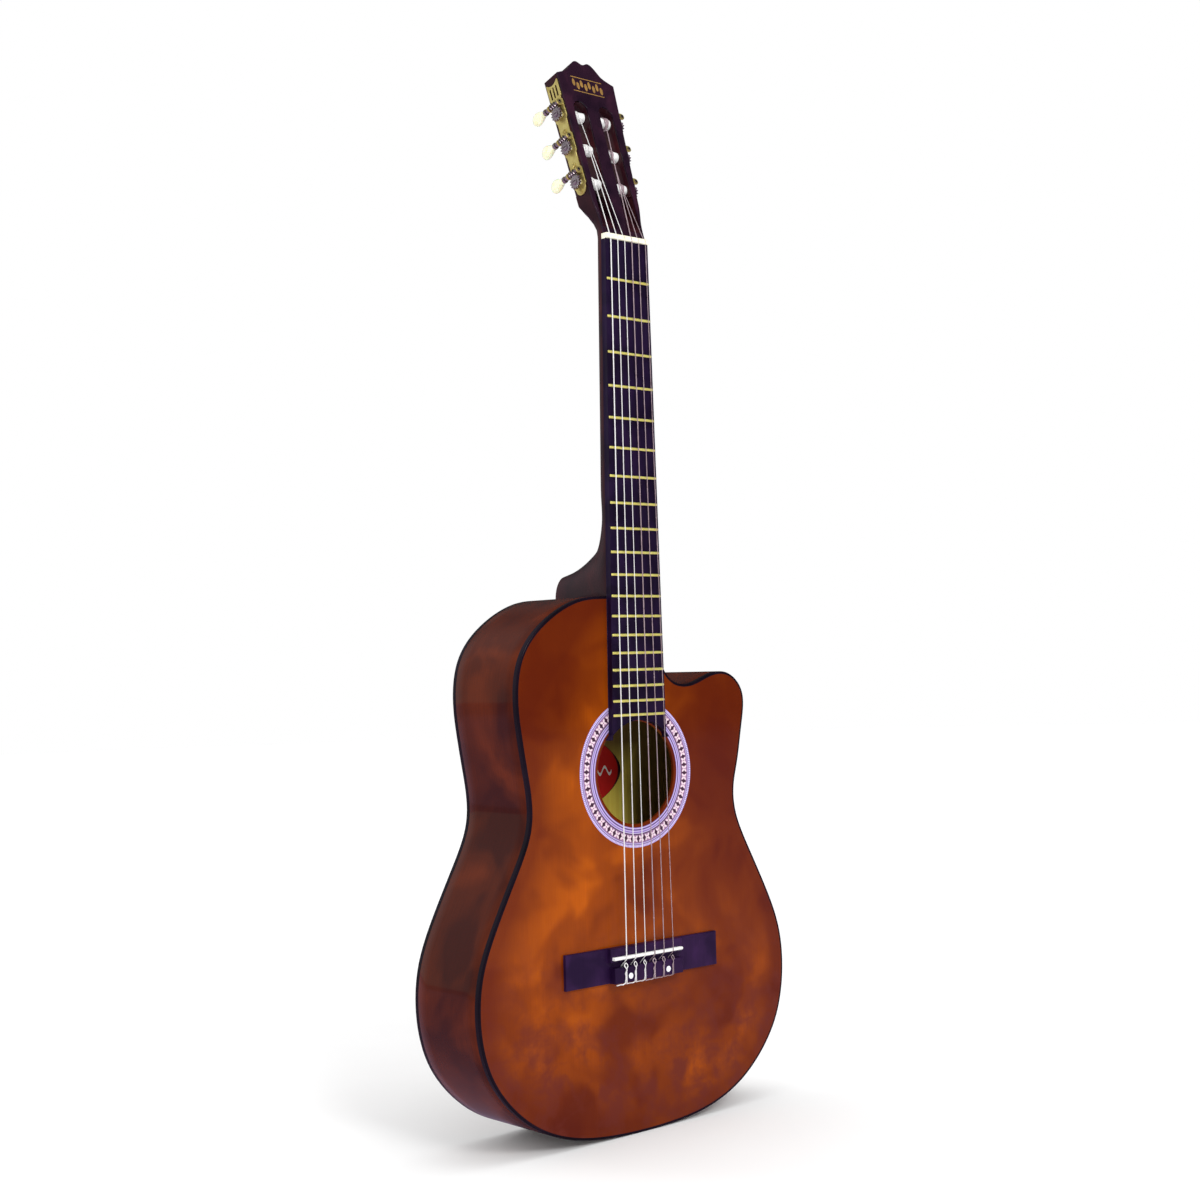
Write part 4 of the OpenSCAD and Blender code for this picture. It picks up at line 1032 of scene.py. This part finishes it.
head = dict(thick=20 * mm, veneer=2 * mm, sideFoot=(29, 40), sideTop=(35, 168.5), slotIn=7, slotOut=24,
            slotFoot=10, slotTop=142,
            rampSlope=0.5, edge=0.7 * mm, firstTuner=59.5, pitch=35, join=49.8)
waist = spline([[25.4, 4.2], [25.3, 12], [25.7, 20], [27.3, 28], [28.6, 35], [29, 40]], 8)
crest = spline([[35, 168.5], [31, 170], [26, 172], [20.5, 174.5], [16.5, 180], [12, 185], [7, 187.5],
                [2.5, 184.5], [0, 184]], 10)


def headLoop(foot):
    # right half from the foot up the side and over the crest, then its mirror image back down
    edge = np.vstack([waist, crest])
    start = [[np.interp(foot, edge[:len(waist) + 1, 1], edge[:len(waist) + 1, 0]), foot]]
    half = np.vstack([start, waist[waist[:, 1] > foot], crest]) * mm
    return np.vstack([half, (half * [-1, 1])[::-1][1:]])


def slotLoop(side, foot):
    # square foot and a half-round top
    x0, x1 = head["slotIn"], head["slotOut"]
    r = (x1 - x0) / 2
    loop = np.array([[x0, foot], [x1, foot]] + arc((x0 + x1) / 2, head["slotTop"] - r, r, 0, 180, 25))
    return loop * [side * mm, mm]


slots = [slotLoop(s, head["slotFoot"]) for s in (-1, 1)]
veneerSheet = flatPart([headLoop(4.2)] + slots, head["veneer"], 0.35 * mm)
makePiece("headFace", [moved(veneerSheet, faceMatrix)], [veneerFinish], "guitar", ["head_veneer"])

# upper block: a fork of three legs, open between the legs down to where the foot begins
forkFoot = head["join"] - head["edge"] / mm


def slotNotch(side):
    # one slot as a notch, from its outer leg over the round top to its inner leg
    loop = slotLoop(side, forkFoot)
    return np.vstack([loop[1:], loop[:1]])


fork = np.vstack([headLoop(forkFoot), slotNotch(-1), slotNotch(1)[::-1]])
forkSheet = flatPart([fork], head["thick"] - head["veneer"], head["edge"])
forkSheet["v"][:, 2] += head["veneer"]
footRows = [[11.8, 17.6, 25.3, 2.5], [20, 18.3, 26.2, 2.9], [28, 19.3, 28.2, 4], [36, 20.2, 31, 7],
            [44, 21, 35, 14], [60, 22, 44, 14]]


def footPart():
    # round-backed sections that square up to the block, with the slots' sloping floors as two notches
    table = np.array(footRows)
    u = np.linspace(table[0, 0], head["join"], 40)
    depth, wide, e = (np.interp(u, table[:, 0], table[:, k]) for k in (1, 2, 3))
    limit = np.interp(u, waist[:, 1], waist[:, 0])
    limit = np.where(u > head["sideFoot"][1], head["sideFoot"][0] + (u - head["sideFoot"][1]) * 6 / 128.5,
                     limit)
    t = np.linspace(0, np.pi, 49)
    q = (2 / e)[:, None]
    x = wide[:, None] * np.sign(np.cos(t)) * np.abs(np.cos(t)) ** q
    n = 1 + np.abs(np.sin(t)) ** q * (depth - 1)[:, None]
    x = np.clip(x, -limit[:, None], limit[:, None])
    n = np.clip(n, head["veneer"] / mm, head["thick"] / mm)
    floorN = np.clip((u - head["slotFoot"]) * head["rampSlope"], head["veneer"] / mm + 0.01, None)[:, None]
    top = np.full_like(floorN, head["veneer"] / mm)
    a, b, one = head["slotIn"], head["slotOut"], np.ones_like(floorN)
    x = np.hstack([x, -b * one, -b * one, -a * one, -a * one, a * one, a * one, b * one, b * one])
    n = np.hstack([n, top, floorN, floorN, top, top, floorN, floorN, top])
    return gridPart(np.stack([x, n, np.repeat(u[:, None], x.shape[1], 1)], 2) * mm)


headParts = [moved(forkSheet, faceMatrix), moved(footPart(), headMatrix)]
makePiece("headBlock", headParts, [neckFinish], "guitar", ["headstock"])

# gold ornament on the head's face: a plain row of leaves, every other one turned over, between two bars
leaf = dict(thick=0.12 * mm, z=161 * mm, half=19 * mm)


def leafLoop(cx, cz, size, turn):
    # upright leaf: a circle's radius that grows towards one end, squeezed across
    t = np.linspace(0, 2 * np.pi, 36, endpoint=False)
    r = size * (0.72 + 0.28 * np.cos(t))
    return np.stack([cx + 0.42 * r * np.sin(t + turn), cz + r * np.cos(t + turn)], 1)[::-1]


leafLoops = [roundedBox(2 * leaf["half"], 0.9 * mm, 0.4 * mm, 0, leaf["z"] - 8 * mm),
             roundedBox(2 * leaf["half"], 0.9 * mm, 0.4 * mm, 0, leaf["z"] + 6.8 * mm)]
for k in range(8):
    leafLoops.append(leafLoop((k - 3.5) * 4.8 * mm, leaf["z"] - 0.6 * mm, 5.4 * mm, math.pi * (k % 2)))
leafParts = []
for loop in leafLoops:
    p = flatPart([loop], leaf["thick"], 0.04 * mm)
    p["v"][:, 2] -= leaf["thick"] - 0.02 * mm
    leafParts.append(moved(p, faceMatrix))
makePiece("headOrnament", leafParts, [leafFinish], "guitar")
print("head ready")


# ---- tuning machines ----

tuner = dict(plateWide=16 * mm, barWide=13 * mm, plateThick=1.2 * mm, plateFoot=7 * mm, plateTop=123 * mm,
             gearMid=5.2 * mm, gearWide=2.6 * mm, teeth=14, module=0.9 * mm,
             wormRadius=2.6 * mm, addendum=0.7 * mm, roller=5 * mm, earAt=6.2 * mm, earThick=1.4 * mm,
             screws=[10.5, 37, 72, 104])
lean = math.atan2(head["sideTop"][0] - head["sideFoot"][0], head["sideTop"][1] - head["sideFoot"][1])
wormZ = tuner["teeth"] * tuner["module"] / 2 + tuner["wormRadius"]


def machineMatrix(side, z=0.0, n=10 * mm):
    # x out of the head's side, y into the head's depth, z up along the side
    local = np.eye(4)
    local[:3, 0] = (math.cos(lean), 0, -math.sin(lean))
    local[:3, 2] = (math.sin(lean), 0, math.cos(lean))
    local[:3, 3] = (head["sideFoot"][0] * mm, n, head["sideFoot"][1] * mm)
    local[:3, 3] += z * local[:3, 2]
    return headMatrix @ np.diag([side, 1, 1, 1]) @ local


def tunerSide(i):
    return 1 if i < 4 else -1


def tunerPlace(i):
    return i - 1 if i < 4 else 6 - i


def tunerZ(k):
    return (head["firstTuner"] + head["pitch"] * k - head["sideFoot"][1]) * mm / math.cos(lean)


def tunerMatrix(i):
    return machineMatrix(tunerSide(i), tunerZ(tunerPlace(i)))


# local frames: an axis or a sheet's thickness along x (roller, gear, plate) or an axis along y (worm)
alongX = outward(0)
alongY = facing((0, 0, 0), (0, 0, 1), (1, 0, 0), (0, 1, 0))


def plateParts(side):
    # a bar with a round foot, wider at each machine, bored for the rollers, with three slots and a hollowed tip
    w, bar, tip = tuner["plateWide"] / 2, tuner["barWide"] / 2, tuner["plateTop"]
    foot = arc(0, tuner["plateFoot"] + bar, bar, 180, 360, 30)
    edge = []
    for z0, z1 in [(max(tunerZ(k) - 6 * mm, 15.3 * mm),
                    tunerZ(k) + 13 * mm) for k in range(3)] + [(tip - 17 * mm, tip)]:
        edge += [[bar, z0 - 1.6 * mm], [bar + 0.5 * mm, z0 - 0.5 * mm], [w - 0.3 * mm, z0 + 0.2 * mm],
                 [w, z0 + 1.2 * mm]]
        edge += [[w, z1 - 1.2 * mm], [w - 0.3 * mm, z1 - 0.2 * mm], [bar + 0.5 * mm, z1 + 0.5 * mm],
                 [bar, z1 + 1.6 * mm]] if z1 < tip else [[w, tip]]
    hollow = arc(0, tip + 6 * mm, 9 * mm, -42, -138, 16)
    outer = foot + edge + hollow + [[-x, z] for x, z in edge[::-1]]
    holes = [roundedBox(2 * mm, 11 * mm, 0.9 * mm, y * mm, tip - 10.5 * mm).tolist() for y in (-4.2, 0, 4.2)]
    holes += [circle(0, tunerZ(k), 3.05 * mm, 32).tolist() for k in range(3)]
    parts = [moved(flatPart([outer] + holes, tuner["plateThick"], 0.3 * mm), machineMatrix(side) @ alongX)]
    earLoop = [[1.1 * mm, -3 * mm]] + arc(tuner["gearMid"], 0, 3 * mm, -90, 90, 20) + [[1.1 * mm, 3 * mm]]
    earHole = circle(tuner["gearMid"], 0, 1.52 * mm, 24)
    for k in range(3):
        for y in (tuner["earAt"], -tuner["earAt"] - tuner["earThick"]):
            place = machineMatrix(side, tunerZ(k)) @ facing((0, y, wormZ), (1, 0, 0), (0, 0, 1), (0, 1, 0))
            parts.append(moved(flatPart([earLoop, earHole], tuner["earThick"], 0.25 * mm), place))
    return parts


def slottedHead(radius, high, slotWide):
    # domed screw head: rings of a dome, the band across its middle pressed down for the driver slot
    r = np.array([0, 0.15, 0.3, 0.5, 0.7, 0.85, 0.95, 1.0, 1.0]) * radius
    a = np.linspace(0, 2 * np.pi, 48, endpoint=False)
    h = high * np.append(0.45 + 0.55 * np.sqrt(1 - (r[:-1] / radius) ** 2 * 0.98), 0)
    x, y = r[:, None] * np.cos(a), r[:, None] * np.sin(a)
    z = np.repeat(h[:, None], len(a), 1)
    cut = (np.abs(y) < slotWide / 2) & (r[:, None] < radius * 0.99)
    z = np.where(cut, np.minimum(z, high * 0.4), z)
    return gridPart(np.stack([x, y, z], 2))


for side, label in ((-1, "bass"), (1, "treble")):
    makePiece(label + "PlateMetal", plateParts(side), [plateFinish], "guitar", [label + "_plate"])
screwParts = []
for side in (-1, 1):
    for k, z in enumerate(tuner["screws"]):
        twist = Matrix.Rotation(0.6 + 1.1 * k, 4, "Z")
        place = machineMatrix(side, z * mm) @ outward(tuner["plateThick"]) @ np.array(twist)
        screwParts.append(moved(slottedHead(2.3 * mm, 1.15 * mm, 0.6 * mm), place))
makePiece("plateScrews", screwParts, [plateFinish], "guitar", ["plate_screws"])


def wormParts():
    # shaft turned from a profile, and a thread: a trapezoid swept along a helix, thinning out at both ends
    core = 1.85 * mm
    shaft = [(0, -8.4), (1.35, -8.4), (1.5, -8.25), (1.5, -6.1), (1.85, -6.1), (1.85, 6.1), (1.5, 6.1),
             (1.5, 7.8), (2.4, 7.8), (2.6, 8.0),
             (2.6, 9.4), (2.4, 9.6), (1.9, 9.6), (1.9, 11.2), (2.9, 11.45), (3.1, 11.7), (3.1, 13.4),
             (2.9, 13.7), (2.2, 14.2), (1.4, 14.2),
             (1.4, 24), (0, 24)]
    turns = np.linspace(-1.75, 1.75, 147)
    pitch = math.pi * tuner["module"]
    fade = np.clip((1.75 - np.abs(turns)) / 0.35, 0.02, 1)
    crown = core + (tuner["wormRadius"] + tuner["addendum"] - core) * fade
    section = [(core * 0.9, -0.85), (None, -0.34), (None, -0.26), (None, 0.26), (None, 0.34),
               (core * 0.9, 0.85)]
    rows = []
    for r, dy in section:
        radius = np.full_like(turns, r) if r is not None else crown - (0.12 * mm if abs(dy) > 0.3 else 0)
        a = 2 * np.pi * turns
        rows.append(np.stack([radius * np.sin(a), pitch * turns + dy * mm * (0.5 + 0.5 * fade),
                              -radius * np.cos(a)], 1))
    thread = gridPart(np.stack(rows, 1))
    shaftPart = lathePart([(r * mm, h * mm) for r, h in shaft], 40)
    return [moved(shaftPart, alongY), thread]


def gearLoop():
    # straight-flanked teeth about the pitch circle, one gap facing the worm
    pitchR = tuner["teeth"] * tuner["module"] / 2
    root, tip = pitchR - tuner["addendum"] - 0.35 * mm, pitchR + tuner["addendum"]
    tooth = [(root, -1.0), (root + 0.15 * mm, -0.92), (pitchR, -0.5), (tip - 0.1 * mm, -0.3), (tip, -0.2),
             (tip, 0.2),
             (tip - 0.1 * mm, 0.3), (pitchR, 0.5), (root + 0.15 * mm, 0.92), (root, 1.0)]
    points = []
    for k in range(tuner["teeth"]):
        a0 = (k + 0.5) * 2 * np.pi / tuner["teeth"]
        for r, half in tooth:
            a = a0 + math.atan2(half * mm, r)
            points.append((-r * math.sin(a), r * math.cos(a)))
    return points


def gearParts():
    x0 = tuner["gearMid"] - tuner["gearWide"] / 2
    disc = moved(flatPart([gearLoop()], tuner["gearWide"], 0.12 * mm), outward(x0))
    hub = moved(lathePart([(3.4 * mm, 0.0), (3.4 * mm, 0.15 * mm), (3.3 * mm, 0.25 * mm), (0, 0.25 * mm)],
                          40),
                outward(x0 + tuner["gearWide"]))
    screw = moved(slottedHead(3.0 * mm, 1.35 * mm, 0.8 * mm), outward(x0 + tuner["gearWide"]))
    return [disc, hub, screw]


def buttonPart():
    # elliptical sections along the shaft: a narrow neck, a wide flat middle and a round tip
    t = np.sin(np.linspace(0, np.pi / 2, 34)) ** 1.15
    wide = 2.7 + 3.7 * np.sin(np.radians(np.minimum(t * 150, 90))) ** 1.5
    tip = np.where(t < 0.6, 1, np.sqrt(np.clip(1 - ((t - 0.6) / 0.4) ** 2, 0.0004, 1)))
    thick = 2.7 + 0.9 * np.sin(np.radians(np.minimum(t * 180, 90)))
    a = np.linspace(0, 2 * np.pi, 40, endpoint=False)
    x = (thick * tip)[:, None] * np.cos(a) * mm
    z = (wide * tip)[:, None] * np.sin(a) * mm
    y = np.repeat(((14.4 + 17 * t) * mm)[:, None], len(a), 1)
    return gridPart(np.stack([x, y, z], 2))


def sideX(u):
    return head["sideFoot"][0] + (u - head["sideFoot"][1]) * math.tan(lean)


def reach(i, x):
    # distance along the roller's axis from the head's side face to a given |x| in mm
    return (sideX(head["firstTuner"] + head["pitch"] * tunerPlace(i)) - x) * math.cos(lean) * mm


# mm from the middle at which each string meets its roller
meetX = [17, 13.5, 16.5, 16.5, 13.5, 17]


def rollerPart(i):
    # barrel across the slot with eased edges, a neck through the plate and a tip in the middle of the head
    r, inner, outer = tuner["roller"], reach(i, head["slotIn"] + 0.5), reach(i, head["slotOut"] + 1.8)
    e = 0.35 * mm
    p = [(0, -inner - 3 * mm), (3 * mm, -inner - 3 * mm), (3 * mm, -inner), (r - e, -inner), (r, -inner + e),
         (r, 0.0 - 0.1 * mm),
         (3 * mm, -0.1 * mm), (3 * mm, tuner["plateThick"] + 0.9 * mm),
         (2 * mm, tuner["plateThick"] + 0.9 * mm),
         (2 * mm, tuner["gearMid"] + 1.2 * mm), (0, tuner["gearMid"] + 1.2 * mm)]
    return lathePart(p, 56)


def wrapPart(i):
    # the string's turns on its roller: a helix lying on the barrel
    r0 = strings["radius"][i - 1]
    pitch = 2 * r0 + 0.12 * mm
    t = np.linspace(0, 3.4, 190)
    a = 2 * np.pi * t + 0.3
    r = tuner["roller"] + r0 + 0.02 * mm
    x = -reach(i, meetX[i - 1]) + pitch * (0.95 + t)
    path = np.stack([x, r * np.sin(a), r * np.cos(a)], 1)
    return tubePart(path, r0, 10)


def stringLook(i):
    return (nylonFinish, "treble_string") if i < 4 else (bassFinish, "bass_string")


for i in range(1, 7):
    place = tunerMatrix(i)
    shift = place @ facing((tuner["gearMid"], 0, wormZ), (1, 0, 0), (0, 1, 0), (0, 0, 1))
    key, post = f"key_{i}", f"post_{i}"
    wrapFinish, wrapSlot = stringLook(i)
    for label, parts, carry, finish, rides, slotName, stands, sharp in (
            ("wormShaft", wormParts(), shift, nickelFinish, key, "nickel", "worm", 35),
            ("buttonGrip", [buttonPart()], shift, buttonFinish, key, "button", "button", 70),
            ("gearWheel", gearParts(), place, nickelFinish, post, "nickel", "gear", 35),
            ("rollerBarrel", [moved(rollerPart(i), alongX)], place, rollerFinish, post, "roller", "roller",
             35),
            ("rollerWrap", [wrapPart(i)], place, wrapFinish, post, wrapSlot, "wrap", 35)):
        carried = [moved(p, carry) for p in parts]
        makePiece(f"{label}_{i}", carried, [finish], rides, [f"{stands}_{i}"], sharp=sharp)
print("tuning machines ready")


# ---- strings ----

def toWorld(p):
    m = headMatrix
    return m[:3, :3] @ np.array(p) + m[:3, 3]


def toHead(p):
    return headMatrix[:3, :3].T @ (np.array(p) - headMatrix[:3, 3])


def rollerRound(i, a):
    # point on the string's turn round its roller, angle 0 pointing up the head
    side, u = tunerSide(i), head["firstTuner"] + head["pitch"] * tunerPlace(i)
    c = np.array([side * meetX[i - 1], 10, u + (sideX(u) - meetX[i - 1]) * math.tan(lean)]) * mm
    r = tuner["roller"] + strings["radius"][i - 1] + 0.08 * mm
    return c, r, toWorld((c[0], c[1] + r * math.sin(a), c[2] + r * math.cos(a)))


def stringPath(i):
    # round the roller, over nut and saddle, down into its hole, under the tie block and up its outer face
    x0, x1, r0 = stringX(i, strings["nutSpread"]), stringX(i,
        strings["saddleSpread"]), strings["radius"][i - 1]
    nutPoint = np.array([x0, strings["nutY"] - r0, neck["nutZ"]])
    c, r, _ = rollerRound(i, 0)
    p = toHead(nutPoint)
    dn, du = p[1] - c[1], p[2] - c[2]
    touch = math.atan2(dn, du) + math.acos(r / math.hypot(du, dn))
    path = [rollerRound(i, touch + a)[2] for a in np.radians(np.linspace(110, 0, 20))]
    first = path[-1]
    path += [first + (nutPoint - first) * t for t in (0.3, 0.6, 0.9)] + [nutPoint]
    crownY = saddle["top"] + saddle["thick"] / 2
    rc = saddle["thick"] / 2 + r0 + 0.03 * mm
    over = [np.array([x1, crownY - rc * math.cos(a),
                      saddle["z"] - rc * math.sin(a)]) for a in np.radians(np.linspace(0, 48, 7))]
    path += [nutPoint + (over[0] - nutPoint) * t for t in (0.1, 0.3, 0.5, 0.7, 0.9)] + over
    hole, g = front - 4.6 * mm, r0 + 0.05 * mm
    lid = front - bridge["tie"] - g
    foot, tieTop = bridge["foot"], bridge["tieTop"]
    into = np.array([x1, hole, tieTop + 0.6 * mm])
    path += [over[-1] + (into - over[-1]) * t for t in (0.35, 0.7)] + [into,
        np.array([x1, hole, tieTop - 1 * mm]), np.array([x1, hole, foot + 1 * mm])]
    corner = [[x1, hole, foot - 0.1 * mm], [x1, hole - 0.6 * mm, foot - g], [x1, lid + 1.2 * mm, foot - g],
              [x1, lid + 0.3 * mm, foot - 0.7 * g],
              [x1, lid, foot + 0.6 * mm], [x1, lid, foot + 2 * mm]]
    return path + [np.array(c) for c in corner] + [np.array([x1, lid, tieTop - 2.5 * mm])]


def tiePath(i):
    # knot: over the block, a loop round the string, back over the block and tucked under at the tail edge
    x1, r0 = stringX(i, strings["saddleSpread"]), strings["radius"][i - 1]
    g = r0 + 0.05 * mm
    lid = front - bridge["tie"] - g
    foot, tieTop = bridge["foot"], bridge["tieTop"]
    w = 2.1 * r0 + 0.5 * mm
    points = [[x1, lid, tieTop - 3 * mm], [x1 + 0.15 * w, lid - 0.1 * mm, tieTop - 1.2 * mm],
              [x1 + w, lid + 0.2 * mm, tieTop + 0.4 * mm],
              [x1 + 1.25 * w, lid + 1.3 * mm, tieTop + 2.0 * mm], [x1 + 0.5 * w, lid + 1.2 * mm,
              tieTop + 3.3 * mm],
              [x1 - 0.6 * w, lid + 0.6 * mm, tieTop + 3.1 * mm], [x1 - 1.25 * w, lid + 0.5 * mm,
              tieTop + 1.6 * mm],
              [x1 - 0.9 * w, lid - 0.4 * mm, tieTop - 0.2 * mm], [x1 - 0.25 * w, lid - 1.6 * r0,
              tieTop - 2.2 * mm],
              [x1 - 0.9 * w, lid - 0.5 * r0, tieTop - 5 * mm], [x1 - 0.7 * w, lid - 0.4 * r0, foot + 5 * mm],
              [x1 - 1.0 * w, lid - 0.2 * r0, foot + 2 * mm], [x1 - 1.3 * w, lid + 0.1 * mm, foot - 0.2 * mm],
              [x1 - 2.2 * w, lid + 0.9 * mm, foot - 1.6 * r0 - 0.25 * mm],
              [x1 - 6 * mm, lid + 1.1 * mm, foot - 1.4 * r0 - 0.2 * mm],
              [x1 - 11.2 * mm, lid + 1.2 * mm, foot - 1.8 * r0 - 0.3 * mm]]
    return through(points, 10)


for i in range(1, 7):
    finish, slotName = stringLook(i)
    for label, path, sides, stands in (("stringRun", stringPath(i), 12, [f"string_{i}"]),
                                       ("tieKnot", tiePath(i), 10, [])):
        tube = tubePart(path, strings["radius"][i - 1], sides)
        makePiece(f"{label}_{i}", [tube], [finish], "guitar", stands, sharp=60)
print("strings ready")
